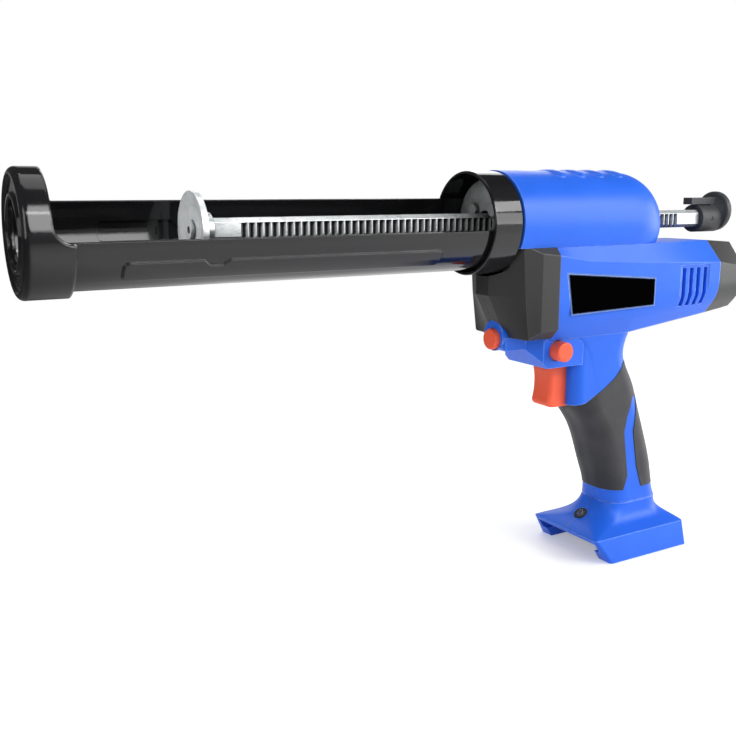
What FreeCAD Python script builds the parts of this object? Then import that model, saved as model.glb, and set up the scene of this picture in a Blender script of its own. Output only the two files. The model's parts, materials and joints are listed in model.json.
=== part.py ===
import FreeCAD, Part
import Sketcher

import math
import os

# A cordless caulking gun.  The barrel's axis is the X axis, with the nose at the origin and the motor
# towards +X.  Z is up, and the left side of the tool is the -Y side.  Millimetres throughout.

doc = FreeCAD.newDocument("caulking_gun")
sheet = doc.addObject("Spreadsheet::Sheet", "sizes")

SIZES = {
    # general fits
    "overrun": 2.0,              # how far a cutting tool passes the face it cuts
    "running_gap": 0.05,         # radial clearance of a shaft in its bush
    "slide_gap": 0.3,            # clearance of a sliding or curved neighbour
    "seat_gap": 0.15,            # clearance of a piece that is fixed in its seat
    # barrel
    "cap_radius": 29.0,
    "cap_wall": 2.8,
    "cap_ring_depth": 12.1,
    "cap_skirt_depth": 21.2,
    "cap_face_wall": 3.4,
    "cap_face_recess": 1.5,
    "cap_rim_width": 3.4,
    "cap_rim_round": 3.0,
    "cap_notch_round": 9.0,
    "nozzle_hole_radius": 15.6,
    "nozzle_lip_width": 1.8,
    "nozzle_lip_step": 0.5,
    "cradle_wall": 1.2,
    "cradle_edge_height": 5.65,
    "panel_height": 1.1,
    "panel_bevel": 1.2,
    "panel_front": 41.0,
    "panel_length": 170.0,
    "panel_top_drop": 3.2,
    "panel_bottom_drop": 15.0,
    "panel_corner_round": 4.0,
    "panel_dip_x": 85.0,          # a dip in the panel's upper edge
    "panel_dip_half_width": 6.4,
    "panel_dip_floor_half_width": 3.4,
    "panel_dip_depth": 3.0,
    "barrel_turn_angle": 20.1,
    "collar_front": 240.0,
    "collar_depth": 18.7,
    "collar_radius": 29.0,
    "collar_wall": 1.5,
    "collar_back_wall": 1.6,
    "collar_bore_radius": 19.0,
    "collar_edge_round": 0.6,
    "plate_thickness": 2.5,
    "plate_hole_radius": 7.0,
    "plate_screw_side": 9.2,
    "plate_screw_rise": 7.3,
    "plate_screw_radius": 1.75,
    "plate_screw_head_radius": 3.4,
    "plate_screw_head_height": 2.4,
    "plate_screw_length": 9.0,
    # push rod
    "rod_width": 11.0,
    "rod_chamfer": 2.0,
    "rod_front": 89.4,
    "rack_module": 1.3,
    "rack_gap_count": 74,
    "rack_gaps_ahead_count": 42,  # gaps between the drive shaft and the pusher
    "rack_backlash": 0.2,
    "rack_rise": 3.2,            # Z of the gaps' upper ends, with the rod left plain above
    "pusher_radius": 18.5,
    "pusher_thickness": 1.6,
    "pusher_dish": 1.4,
    "pusher_hub_radius": 11.2,
    "backing_radius": 8.2,
    "backing_thickness": 6.4,
    "pusher_bolt_radius": 3.0,
    "pusher_bolt_head_radius": 4.2,
    "pusher_bolt_head_height": 2.2,
    "pusher_bolt_socket_radius": 1.9,
    "pusher_bolt_socket_depth": 1.6,
    "pusher_bolt_length": 14.0,
    "knob_front": 426.0,
    "knob_neck_radius": 9.0,
    "knob_neck_length": 18.0,
    "knob_socket_depth": 14.0,
    "knob_flange_radius": 13.0,
    "knob_flange_width": 5.0,
    "knob_flange_rise": 4.4,
    "knob_flange_round": 1.6,
    "knob_flare_length": 7.0,
    "knob_flare_round": 10.0,
    "knob_tab_length": 23.6,
    "knob_tab_width": 7.0,
    "knob_tab_height": 4.4,
    "knob_tab_rise": 9.0,
    "knob_pin_radius": 1.5,
    "knob_pin_setback": 8.0,
    # drive train
    "pressure_angle": 25.0,
    "tooth_backlash": 0.16,
    "drive_front": 277.0,        # X of the drive shaft
    "pinion_tooth_count": 12,
    "pinion_width": 8.0,
    "drive_shaft_radius": 3.5,
    "spur_module": 0.8,
    "spur_gear_tooth_count": 26,
    "spur_pinion_tooth_count": 14,
    "spur_width": 6.0,
    "lay_shaft_radius": 3.0,
    "bevel_module": 1.25,
    "bevel_gear_tooth_count": 20,
    "bevel_pinion_tooth_count": 16,
    "bevel_face_width": 5.0,
    "bevel_pinion_hub": 3.0,
    "bevel_hub_radius": 7.0,
    "planet_module": 0.7,
    "sun_tooth_count": 12,
    "planet_tooth_count": 18,
    "planet_count": 3,
    "planet_width": 8.0,
    "planet_pin_radius": 2.0,
    "carrier_thickness": 3.0,
    "output_shaft_radius": 4.0,
    "ring_radius": 20.0,
    # gear case
    "case_wall": 4.0,
    "case_half_width": 20.0,
    "case_disc_radius": 21.5,
    "case_foot_half_width": 8.4,
    "case_top": 12.0,
    "case_middle_drop": 7.5,
    "case_floor_drop": 21.0,
    "case_tail_drop": 59.0,
    "bush_wall": 1.5,
    # motor
    "motor_drop": 41.0,          # the motor's axis below the barrel's axis
    "motor_radius": 18.0,
    "motor_length": 56.0,
    "motor_shaft_radius": 2.5,
    "motor_end_length": 9.0,
    "motor_end_inset": 2.0,
    # housing
    "wall": 2.5,
    "cover_radius": 29.6,
    "cover_wall": 2.4,
    "cover_straight_length": 86.5,
    "cover_dome_length": 34.0,
    "cover_gap": 1.2,            # between the collar and the cover
    "cover_ridge_count": 4,
    "cover_ridge_start": 39.0,
    "cover_ridge_pitch": 15.0,
    "cover_ridge_length": 6.6,
    "cover_ridge_height": 0.9,
    "cover_ridge_half_width": 15.0,
    "seam_drop": 13.5,           # the cover's lower edge below the axis
    "body_front": 286.0,
    "body_middle": 309.0,
    "body_dome": 350.0,
    "body_rear": 421.0,
    "body_top_half_width": 26.2,
    "body_rear_top_half_width": 17.0,
    "body_half_width": 29.2,
    "body_front_shoulder_drop": 18.0,
    "body_middle_shoulder_drop": 22.0,
    "body_rear_shoulder_drop": 27.0,
    "body_ease": 8.0,             # reach of the arc between flank and lower bevel
    "body_side_drop": 52.0,
    "body_rear_side_drop": 47.0,
    "body_corner_half_width": 19.5,
    "body_corner_drop": 68.0,
    "body_rear_corner_drop": 60.0,
    "body_floor_half_width": 13.0,
    "body_floor_drop": 70.5,
    "body_rear_floor_drop": 62.5,
    "tail_length": 31.0,         # rear cap
    "tail_shrink": 8.0,
    "tail_top_drop": 17.5,
    "tail_round": 4.0,
    "guard_front": 253.6,
    "guard_nose_half_width": 6.0,
    "guard_knee": 263.2,          # the fold between the front and the bevel beside it
    "guard_bend_knee": 265.2,
    "guard_foot_knee": 268.6,
    "guard_knee_half_width": 25.0,
    "guard_side_front": 274.2,    # the fold between the bevel and the side
    "guard_side_half_width": 28.7,
    "guard_half_width": 29.8,
    "guard_drop": 66.0,
    "guard_side_drop": 60.0,
    "guard_corner_half_width": 24.0,
    "guard_bend_drop": 41.0,      # where the nose starts to lean back
    "guard_lean": 13.8,
    "chin_front": 262.5,
    "chin_bevel": 2.0,
    "chin_half_width": 9.6,
    "chin_rear_half_width": 17.9,
    "chin_drop": 74.0,
    "chin_step": 279.0,
    "chin_back": 289.0,
    "chin_foot_drop": 85.4,
    "handle_x": 331.0,           # middle of the handle's top section
    "handle_lean": 40.8,
    "handle_top_drop": 58.0,
    "handle_half_depth": 24.0,
    "handle_half_width": 18.0,
    "handle_corner_round": 14.0,
    "neck_drop": 181.0,
    "neck_groove_width": 0.7,
    "neck_groove_depth": 0.5,
    "flare_middle_drop": 190.0,
    "flare_half_depth": 29.6,
    "flare_half_width": 19.4,
    "flare_corner_round": 15.0,
    "flare_x": 367.5,
    "flare_foot_drop": 194.0,     # a lower section, where the foot spreads
    "flare_foot_x": 364.8,
    "flare_foot_half_depth": 34.8,
    "flare_foot_half_width": 23.6,
    "flare_foot_corner_round": 8.0,
    "dome_drop": 8.0,             # the dome's tip below the axis
    "foot_front": 323.4,
    "foot_rear": 401.8,
    "foot_half_width": 29.4,
    "foot_top_drop": 197.0,
    "foot_bottom_drop": 212.3,
    "foot_rake": 10.4,
    "foot_flare": 3.8,
    "foot_corner_round": 2.5,
    "foot_rear_wall": 3.0,
    "foot_roof": 3.0,
    "rail_height": 6.3,
    "rail_depth": 4.5,
    "grip_thickness": 1.8,
    "grip_proud": 0.4,
    "label_front": 292.0,
    "label_rear": 363.5,
    "label_top_drop": 28.0,
    "label_top_slant": 6.0,
    "label_bottom_slant": 1.5,
    "label_front_slant": 4.0,
    "label_bottom_drop": 53.0,
    "label_thickness": 0.5,
    "vent_count": 4,
    "vent_front": 387.0,
    "vent_pitch": 6.4,
    "vent_width": 3.6,
    "vent_top_drop": 29.5,
    "vent_bottom_drop": 53.5,
    "vent_frame": 1.8,            # width and depth of the sunk field round the vents
    "vent_frame_depth": 0.7,
    # controls
    "trigger_front": 298.6,
    "trigger_rear": 313.0,
    "trigger_top_drop": 86.0,
    "trigger_bottom_drop": 112.4,
    "trigger_half_width": 8.6,
    "trigger_hollow_radius": 38.0,
    "trigger_lip": 2.0,
    "trigger_chamfer": 2.5,
    "trigger_round": 3.0,
    "trigger_tail": 4.0,
    "trigger_travel": 7.0,
    "cheek_front": 312.4,         # the shells beside the trigger
    "cheek_length": 28.6,
    "cheek_half_width": 17.9,
    "cheek_round": 7.0,
    "plunger_radius": 3.0,
    "plunger_length": 9.0,
    "switch_length": 24.0,
    "switch_half_width": 8.0,
    "switch_height": 20.0,
    "direction_x": 296.5,
    "direction_drop": 75.0,
    "direction_radius": 5.9,
    "direction_reach": 25.5,
    "direction_travel": 8.0,
    "direction_round": 1.0,
    "release_boss_radius": 9.0,
    "release_boss_drop": 65.6,
    "release_drop": 67.6,
    "release_radius": 6.2,
    "release_reach": 3.2,
    "release_length": 8.0,
    "release_travel": 4.0,
    "release_stem_radius": 3.0,
    "release_stem_length": 7.0,
    "release_round": 1.2,
    # lamp and battery contacts
    "lamp_x": 337.6,
    "lamp_drop": 189.3,
    "lamp_tilt_angle": 33.0,
    "lamp_bezel_radius": 4.3,
    "lamp_bezel_depth": 6.0,
    "lamp_lens_radius": 2.8,
    "terminal_front": 352.0,
    "terminal_length": 30.0,
    "terminal_half_width": 14.0,
    "terminal_height": 5.0,
    "blade_count": 4,
    "blade_length": 10.0,
    "blade_height": 4.0,
    "blade_thickness": 0.8,
    "blade_pitch": 6.5,
    "board_thickness": 1.6,
    "board_half_width": 15.0,
    "board_half_height": 15.0,
    # housing screws
    "screw_radius": 1.6,
    "screw_head_radius": 3.0,
    "screw_head_height": 2.2,
    "screw_length": 16.0,
    "boss_radius": 3.4,
}


class Size:
    """A number together with the text by which the document works it out from the sheet."""

    def __init__(self, text, number):
        self.text = text
        self.number = number

    def __float__(self):
        return float(self.number)

    def __neg__(self):
        return Size(f"-({self.text})", -self.number)

    def __add__(self, other):
        return Size(f"({self.text} + {words(other)})", self.number + float(other))

    def __radd__(self, other):
        return self + other

    def __sub__(self, other):
        return Size(f"({self.text} - ({words(other)}))", self.number - float(other))

    def __rsub__(self, other):
        return -self + other

    def __mul__(self, other):
        return Size(f"({self.text} * ({words(other)}))", self.number * float(other))

    def __rmul__(self, other):
        return self * other

    def __truediv__(self, other):
        return Size(f"({self.text} / ({words(other)}))", self.number / float(other))


def words(number):
    return number.text if isinstance(number, Size) else repr(number)


class Sizes:
    """The sheet's cells, one attribute each."""

    def __init__(self, table):
        for row, (alias, number) in enumerate(table.items(), 1):
            sheet.set(f"A{row}", str(number))
            sheet.setAlias(f"A{row}", alias)
            setattr(self, alias, Size(f"sizes.{alias}", number))


s = Sizes(SIZES)
doc.recompute()
nodes = []


def vector(x, y, z):
    return FreeCAD.Vector(float(x), float(y), float(z))


def bind(thing, **values):
    for name, value in values.items():
        if isinstance(value, Size):
            setattr(thing, name, value.number)
            thing.setExpression(name, value.text)
        else:
            setattr(thing, name, value)
    return thing


AXIS_TURNS = {
    "X": FreeCAD.Rotation(FreeCAD.Vector(0, 1, 0), 90),
    "Y": FreeCAD.Rotation(FreeCAD.Vector(1, 0, 0), -90),
    "Z": FreeCAD.Rotation(),
}


def place(thing, x=0, y=0, z=0, turn=None):
    thing.Placement = FreeCAD.Placement(vector(x, y, z), turn or FreeCAD.Rotation())
    for letter, value in zip("xyz", (x, y, z)):
        if isinstance(value, Size):
            thing.setExpression(f".Placement.Base.{letter}", value.text)
    return thing


def node(thing, label):
    """Names a finished sub-part, which is then written to a file of that name."""
    thing.Label = label
    nodes.append(thing)
    return thing


def box(name, x, y, z):
    """A box between two places along each axis."""
    made = doc.addObject("Part::Box", name)
    bind(made, Length=x[1] - x[0], Width=y[1] - y[0], Height=z[1] - z[0])
    return place(made, x[0], y[0], z[0])


def cylinder(name, axis, radius, length, x=0, y=0, z=0):
    made = doc.addObject("Part::Cylinder", name)
    bind(made, Radius=radius, Height=length)
    return place(made, x, y, z, AXIS_TURNS[axis])


def fuse(name, *things):
    return bind(doc.addObject("Part::MultiFuse", name), Shapes=list(things))


def cut(name, base, *tools):
    tool = tools[0] if len(tools) == 1 else fuse(name + "_tools", *tools)
    return bind(doc.addObject("Part::Cut", name), Base=base, Tool=tool)


def common(name, *things):
    return bind(doc.addObject("Part::MultiCommon", name), Shapes=list(things))


def group(name, *things):
    """Separate solids that share one node."""
    return bind(doc.addObject("Part::Compound", name), Links=list(things))


def new_body(name):
    return doc.addObject("PartDesign::Body", name)


def origin_plane(body, role):
    return next(item for item in body.Origin.OriginFeatures if item.Role == role)


def arc_between(first, last, radius, clockwise):
    """The shorter arc from one point to another."""
    chord = last - first
    middle = (first + last) * 0.5
    left = FreeCAD.Vector(-chord.y, chord.x, 0).normalize()
    reach = math.sqrt(max(radius ** 2 - chord.Length ** 2 / 4, 0))
    centre = middle - left * reach if clockwise else middle + left * reach
    if clockwise:
        first, last = last, first
    start = math.atan2(first.y - centre.y, first.x - centre.x)
    stop = math.atan2(last.y - centre.y, last.x - centre.x)
    circle = Part.Circle(centre, FreeCAD.Vector(0, 0, 1), radius)
    return Part.ArcOfCircle(circle, start, stop)


def outline(body, role, points, shift=None):
    """A closed sketch through points.  A point with a third value is reached along an arc of that radius,
    anticlockwise, or clockwise if the radius is negative."""
    sketch = body.newObject("Sketcher::SketchObject", body.Name + "_outline")
    sketch.AttachmentSupport = (origin_plane(body, role), [""])
    sketch.MapMode = "FlatFace"
    if shift is not None:
        sketch.AttachmentOffset = FreeCAD.Placement(vector(0, 0, shift), FreeCAD.Rotation())
        sketch.setExpression(".AttachmentOffset.Base.z", shift.text)
    ends = []
    arcs = []
    for index, point in enumerate(points):
        first = vector(*points[index - 1][:2], 0)
        last = vector(*point[:2], 0)
        if len(point) == 3:
            clockwise = float(point[2]) < 0
            arc = arc_between(first, last, abs(float(point[2])), clockwise)
            geometry = sketch.addGeometry(arc, False)
            ends.append((geometry, 2, 1) if clockwise else (geometry, 1, 2))
            arcs.append((geometry, -point[2] if clockwise else point[2]))
        else:
            geometry = sketch.addGeometry(Part.LineSegment(first, last), False)
            ends.append((geometry, 1, 2))
    for index, (geometry, start, stop) in enumerate(ends):
        follower, follower_start = ends[(index + 1) % len(ends)][:2]
        sketch.addConstraint(Sketcher.Constraint("Coincident", geometry, stop, follower, follower_start))
        for kind, value in zip(("DistanceX", "DistanceY"), points[index][:2]):
            rule = sketch.addConstraint(Sketcher.Constraint(kind, geometry, stop, float(value)))
            if isinstance(value, Size):
                sketch.setExpression(f"Constraints[{rule}]", value.text)
    for geometry, radius in arcs:
        rule = sketch.addConstraint(Sketcher.Constraint("Radius", geometry, float(radius)))
        sketch.setExpression(f"Constraints[{rule}]", radius.text)
    return sketch


def rounded_rectangle(across, up, half_across, half_up, radius):
    """The points of a rectangle with round corners about a centre."""
    left, right = across - half_across, across + half_across
    low, high = up - half_up, up + half_up
    return [
        (left + radius, low, radius),
        (right - radius, low),
        (right, low + radius, radius),
        (right, high - radius),
        (right - radius, high, radius),
        (left + radius, high),
        (left, high - radius, radius),
        (left, low + radius),
    ]


def turned(name, points, axis="H_Axis", role="XZ_Plane"):
    """A body turned from half of its section, about the sketch's own across or up axis."""
    body = new_body(name)
    sketch = outline(body, role, points)
    made = body.newObject("PartDesign::Revolution", name + "_turn")
    made.Profile = sketch
    made.ReferenceAxis = (sketch, [axis])
    made.Angle = 360
    return body


def padded(name, role, points, length):
    """A body of one outline, thickened evenly to both sides of its plane."""
    body = new_body(name)
    made = body.newObject("PartDesign::Pad", name + "_pad")
    made.Profile = outline(body, role, points)
    made.Midplane = True
    bind(made, Length=length)
    return body


def lofted(name, role, sections, ruled):
    """A body through sections, each a list of points and its distance from the plane."""
    body = new_body(name)
    sketches = [outline(body, role, points, shift) for points, shift in sections]
    made = body.newObject("PartDesign::AdditiveLoft", name + "_loft")
    made.Profile = sketches[0]
    made.Sections = sketches[1:]
    made.Ruled = ruled
    return body


def rounded_edges(body, radius, wanted):
    """Rounds the edges of a body that the test picks."""
    doc.recompute()
    base = body.Tip
    names = [f"Edge{i}" for i, edge in enumerate(base.Shape.Edges, 1) if wanted(edge)]
    made = body.newObject("PartDesign::Fillet", body.Name + "_round")
    made.Base = (base, names)
    bind(made, Radius=radius)
    return body


def near(number, target):
    return abs(float(number) - float(target)) < float(s.seat_gap)


def mirrored_section(half):
    """A full section from the points of its right half, which run from the top to the bottom.  The arc that
    reaches a point on the right leaves its image on the left."""
    arcs = [point[2:] for point in half[1:]] + [()]
    return list(half) + [(-point[0], point[1], *arc) for point, arc in reversed(list(zip(half, arcs)))]


def root_of(size):
    return Size(f"sqrt({size.text})", math.sqrt(size.number))


def tangent_of(size):
    return Size(f"tan({size.text} * 1deg)", math.tan(math.radians(size.number)))


# Places along the barrel's axis that several pieces share.
cradle_radius = s.cap_radius - s.cap_wall - s.seat_gap
cradle_inner = cradle_radius - s.cradle_wall
collar_rear = s.collar_front + s.collar_depth
flange_front = collar_rear - s.collar_back_wall
plate_rear = flange_front - s.slide_gap
plate_front = plate_rear - s.plate_thickness
case_front = collar_rear + s.slide_gap
rod_rear = s.knob_front + s.knob_socket_depth
barrel_turn = FreeCAD.Rotation(FreeCAD.Vector(1, 0, 0), float(s.barrel_turn_angle))


def turn_with_barrel(thing):
    """The barrel is shown turned about its axis, with its mouth leaning to the left."""
    place(thing, turn=barrel_turn)
    thing.setExpression(".Placement.Rotation.Angle", s.barrel_turn_angle.text)
    return thing


def make_front_cap():
    crest = s.cap_radius - s.cap_rim_width
    lip = s.nozzle_hole_radius + s.nozzle_lip_width
    inner = s.cap_radius - s.cap_wall
    ring = turned("cap_ring", [
        (0, s.nozzle_hole_radius),
        (0, lip),
        (s.cap_face_recess, lip + s.nozzle_lip_step),
        (s.cap_face_recess, crest - s.cap_face_recess),
        (0, crest),
        (0, s.cap_radius - s.cap_rim_round),
        (s.cap_rim_round, s.cap_radius, -s.cap_rim_round),
        (s.cap_skirt_depth, s.cap_radius),
        (s.cap_skirt_depth, inner),
        (s.cap_face_wall, inner),
        (s.cap_face_wall, s.nozzle_hole_radius),
    ])
    high = s.cap_radius + s.overrun
    far = s.cap_skirt_depth + s.overrun
    notch = padded("cap_notch", "XZ_Plane", [
        (s.cap_ring_depth, high),
        (s.cap_ring_depth, s.cradle_edge_height + s.cap_notch_round),
        (s.cap_ring_depth + s.cap_notch_round, s.cradle_edge_height, s.cap_notch_round),
        (far, s.cradle_edge_height),
        (far, high),
    ], s.cap_radius * 4)
    node(turn_with_barrel(cut("cap", ring, notch)), "front_cap")


def tube(name, start, stop, inner, outer):
    return turned(name, [(start, inner), (start, outer), (stop, outer), (stop, inner)])


PANEL_STEPS = 3  # layers that make the panel's sloped edge


def panel_outline(inset):
    """The pressed panel's outline with the dip in its upper edge, drawn in by an inset."""
    front, rear = s.panel_front + inset, s.panel_front + s.panel_length - inset
    top, low = -s.panel_top_drop - inset, inset - s.panel_bottom_drop
    turn = s.panel_corner_round - inset
    dip = top - s.panel_dip_depth
    return [
        (front + turn, low, turn),
        (rear - turn, low),
        (rear, low + turn, turn),
        (rear, top - turn),
        (rear - turn, top, turn),
        (s.panel_dip_x + s.panel_dip_half_width, top),
        (s.panel_dip_x + s.panel_dip_floor_half_width, dip),
        (s.panel_dip_x - s.panel_dip_floor_half_width, dip),
        (s.panel_dip_x - s.panel_dip_half_width, top),
        (front + turn, top),
        (front, top - turn, turn),
        (front, low + turn),
    ]


def panel_layer(name, inset, inner, outer):
    ring = tube(name + "_ring", s.panel_front, s.panel_front + s.panel_length, inner, outer)
    return common(name, ring, padded(name + "_shape", "XZ_Plane", panel_outline(inset), s.cap_radius * 4))


def make_cradle():
    trough = tube("cradle_tube", s.cap_face_wall, flange_front, cradle_inner, cradle_radius)
    raised = []
    for i in range(PANEL_STEPS):
        share = (i + 1) / PANEL_STEPS
        raised.append(panel_layer(f"panel_outside_{i}", s.panel_bevel * share, cradle_inner,
                                  cradle_radius + s.panel_height * share))
    pressed = panel_layer("panel_inside", s.panel_bevel, cradle_inner - s.overrun,
                          cradle_inner + s.panel_height)
    mouth = box("cradle_mouth", (s.cap_face_wall - s.overrun, collar_rear),
                (-s.cap_radius, s.cap_radius), (s.cradle_edge_height, s.cap_radius))
    made = cut("cradle", fuse("cradle_whole", trough, *raised), pressed, mouth)
    node(turn_with_barrel(made), "cartridge_cradle")


def make_collar():
    inner = s.collar_radius - s.collar_wall
    edge = s.collar_edge_round
    collar = turned("collar", [
        (s.collar_front, inner),
        (s.collar_front, s.collar_radius - edge),
        (s.collar_front + edge, s.collar_radius, -edge),
        (collar_rear - edge, s.collar_radius),
        (collar_rear, s.collar_radius - edge, -edge),
        (collar_rear, s.collar_bore_radius),
        (flange_front, s.collar_bore_radius),
        (flange_front, inner),
    ])
    node(turn_with_barrel(collar), "rear_collar")


def plate_screw_places():
    for side in (-1, 1):
        for rise in (-1, 1):
            yield s.plate_screw_side * side, s.plate_screw_rise * rise


def plate_screw_holes(name, start, length):
    radius = s.plate_screw_radius + s.seat_gap
    return [cylinder(f"{name}_{i}", "X", radius, length, start, y, z)
            for i, (y, z) in enumerate(plate_screw_places())]


def make_plate():
    disc = tube("plate_disc", plate_front, plate_rear, s.plate_hole_radius, cradle_inner - s.slide_gap)
    holes = plate_screw_holes("plate_hole", plate_front - s.overrun, s.plate_thickness + s.overrun * 2)
    node(cut("plate", disc, *holes), "retaining_plate")
    screws = []
    for i, (y, z) in enumerate(plate_screw_places()):
        head = cylinder(f"plate_screw_head_{i}", "X", s.plate_screw_head_radius,
                        s.plate_screw_head_height, plate_front - s.plate_screw_head_height, y, z)
        shank = cylinder(f"plate_screw_shank_{i}", "X", s.plate_screw_radius,
                         s.plate_screw_length, plate_front, y, z)
        screws.append(fuse(f"plate_screw_{i}", head, shank))
    node(group("plate_screw_set", *screws), "plate_screws")


# The push rod and what is on it.
ROOT_SHARE = 1.25  # depth of a tooth below the pitch line, in modules
rack_pitch = s.rack_module * math.pi
rack_start = s.drive_front - rack_pitch * s.rack_gaps_ahead_count
backing_front = s.rod_front - s.backing_thickness
disc_front = backing_front - s.pusher_thickness
knob_pin_x = s.knob_front + s.knob_pin_setback


def rod_section(extra):
    """The rod's square section with its corners taken off, grown by a clearance."""
    half = s.rod_width / 2 + extra
    short = half - s.rod_chamfer
    return [(half, -short), (half, short), (short, half), (-short, half),
            (-half, short), (-half, -short), (-short, -half), (short, -half)]


def prism_along_x(name, points, start, stop):
    body = new_body(name)
    made = body.newObject("PartDesign::Pad", name + "_pad")
    made.Profile = outline(body, "YZ_Plane", points, start)
    bind(made, Length=stop - start)
    return body


def make_rod():
    body = prism_along_x("rod_bar", rod_section(0), s.rod_front, rod_rear)
    slope = tangent_of(s.pressure_angle)
    half_gap = rack_pitch / 4 + s.rack_backlash / 2
    pitch_line = s.rod_width / 2 - s.rack_module
    root_depth = s.rack_module * ROOT_SHARE
    mouth = half_gap + (s.rack_module + s.overrun) * slope
    floor = half_gap - root_depth * slope
    outside = -(s.rod_width / 2 + s.overrun)
    gap = body.newObject("PartDesign::Pocket", "rack_gap")
    gap.Profile = outline(body, "XY_Plane", [
        (rack_start - mouth, outside),
        (rack_start + mouth, outside),
        (rack_start + floor, root_depth - pitch_line),
        (rack_start - floor, root_depth - pitch_line),
    ], s.rack_rise)
    bind(gap, Length=s.rod_width * 2)
    row = body.newObject("PartDesign::LinearPattern", "rack_gaps")
    row.Originals = [gap]
    row.Direction = (origin_plane(body, "X_Axis"), [""])
    bind(row, Length=rack_pitch * (s.rack_gap_count - 1), Occurrences=s.rack_gap_count)
    body.Tip = row
    bolt_hole = cylinder("rod_bolt_hole", "X", s.pusher_bolt_radius + s.seat_gap,
                         s.pusher_bolt_length + s.overrun, s.rod_front - s.overrun)
    node(cut("rod", body, bolt_hole, knob_pin_hole("rod_pin_hole")), "rack_rod")


def knob_pin_hole(name):
    reach = s.knob_neck_radius + s.overrun
    return cylinder(name, "Y", s.knob_pin_radius + s.seat_gap, reach * 2, knob_pin_x, -reach)


def make_pusher():
    hole = s.pusher_bolt_radius + s.seat_gap
    disc = turned("pusher", [
        (backing_front, hole),
        (backing_front, s.pusher_radius),
        (disc_front - s.pusher_dish, s.pusher_radius),
        (disc_front, s.pusher_hub_radius),
        (disc_front, hole),
    ])
    node(disc, "pusher_disc")
    node(tube("backing", backing_front, s.rod_front, hole, s.backing_radius), "backing_disc")
    head_front = disc_front - s.pusher_bolt_head_height
    bolt_end = s.rod_front + s.pusher_bolt_length - s.backing_thickness - s.pusher_thickness
    socket_floor = head_front + s.pusher_bolt_socket_depth
    bolt = turned("pusher_bolt_body", [
        (socket_floor, 0),
        (socket_floor, s.pusher_bolt_socket_radius),
        (head_front, s.pusher_bolt_socket_radius),
        (head_front, s.pusher_bolt_head_radius),
        (disc_front, s.pusher_bolt_head_radius),
        (disc_front, s.pusher_bolt_radius),
        (bolt_end, s.pusher_bolt_radius),
        (bolt_end, 0),
    ])
    node(bolt, "pusher_bolt")


def make_knob():
    flange_x = s.knob_front + s.knob_neck_length
    back = flange_x + s.knob_flange_width
    edge = s.knob_flange_round
    neck = tube("knob_neck", s.knob_front, flange_x + s.overrun, s.knob_pin_radius, s.knob_neck_radius)
    flange = turned("knob_flange", [
        (flange_x - s.knob_flare_length, 0),
        (flange_x - s.knob_flare_length, s.knob_neck_radius - s.knob_flange_rise),
        (flange_x, s.knob_flange_radius - edge, s.knob_flare_round),
        (flange_x + edge, s.knob_flange_radius, -edge),
        (back - edge, s.knob_flange_radius),
        (back, s.knob_flange_radius - edge, -edge),
        (back, 0),
    ])
    place(flange, z=s.knob_flange_rise)
    half_tab = s.knob_tab_width / 2
    tab = box("knob_tab", (flange_x - s.knob_tab_length, flange_x + edge), (-half_tab, half_tab),
              (s.knob_tab_rise, s.knob_tab_rise + s.knob_tab_height))
    socket = prism_along_x("knob_socket", rod_section(s.seat_gap), s.knob_front - s.overrun, rod_rear)
    whole = fuse("knob_whole", neck, flange, tab)
    node(cut("knob", whole, socket, knob_pin_hole("knob_pin_hole")), "pull_knob")
    reach = s.knob_neck_radius - s.slide_gap
    node(cylinder("knob_pin_body", "Y", s.knob_pin_radius, reach * 2, knob_pin_x, -reach), "knob_pin")


make_front_cap()
make_cradle()
make_collar()
make_plate()
make_rod()
make_pusher()
make_knob()


# The drive train.  A vertical drive shaft turns the rack pinion, a lay shaft beside it carries a spur
# pinion and a bevel gear, and the motor turns the bevel pinion through one planetary stage.
FLANK_STEPS = 3
pinion_pitch = s.rack_module * s.pinion_tooth_count / 2
drive_y = -(s.rod_width / 2 - s.rack_module + pinion_pitch)
spur_distance = s.spur_module * (s.spur_gear_tooth_count + s.spur_pinion_tooth_count) / 2
lay_x = s.drive_front + root_of(spur_distance * spur_distance - drive_y * drive_y)
lay_angle = math.atan2(-float(drive_y), float(lay_x - s.drive_front))
bevel_gear_pitch = s.bevel_module * s.bevel_gear_tooth_count / 2
bevel_pinion_pitch = s.bevel_module * s.bevel_pinion_tooth_count / 2
bevel_cone = math.hypot(float(bevel_gear_pitch), float(bevel_pinion_pitch))
bevel_small_share = 1 - float(s.bevel_face_width) / bevel_cone
half_slack = float(s.tooth_backlash) / 2
case_top_low = s.case_top - s.case_wall
case_middle_low = -s.case_middle_drop - s.case_wall
case_floor_low = -s.case_floor_drop - s.case_wall
spur_low = (case_middle_low - s.case_floor_drop - s.spur_width) / 2
case_back_front = lay_x + bevel_gear_pitch + s.bevel_pinion_hub + s.slide_gap
case_back = case_back_front + s.case_wall
carrier_front = case_back + s.slide_gap
carrier_rear = carrier_front + s.carrier_thickness
planet_front = carrier_rear + s.slide_gap
planet_rear = planet_front + s.planet_width
motor_front = planet_rear + s.slide_gap * 2
motor_rear = motor_front + s.motor_length
carrier_distance = s.planet_module * (s.sun_tooth_count + s.planet_tooth_count) / 2
ring_tooth_count = s.sun_tooth_count.number + 2 * s.planet_tooth_count.number
PLANET_ANGLES = [math.pi + 2 * math.pi * i / s.planet_count.number for i in range(s.planet_count.number)]


def involute(angle):
    return math.tan(angle) - angle


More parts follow.
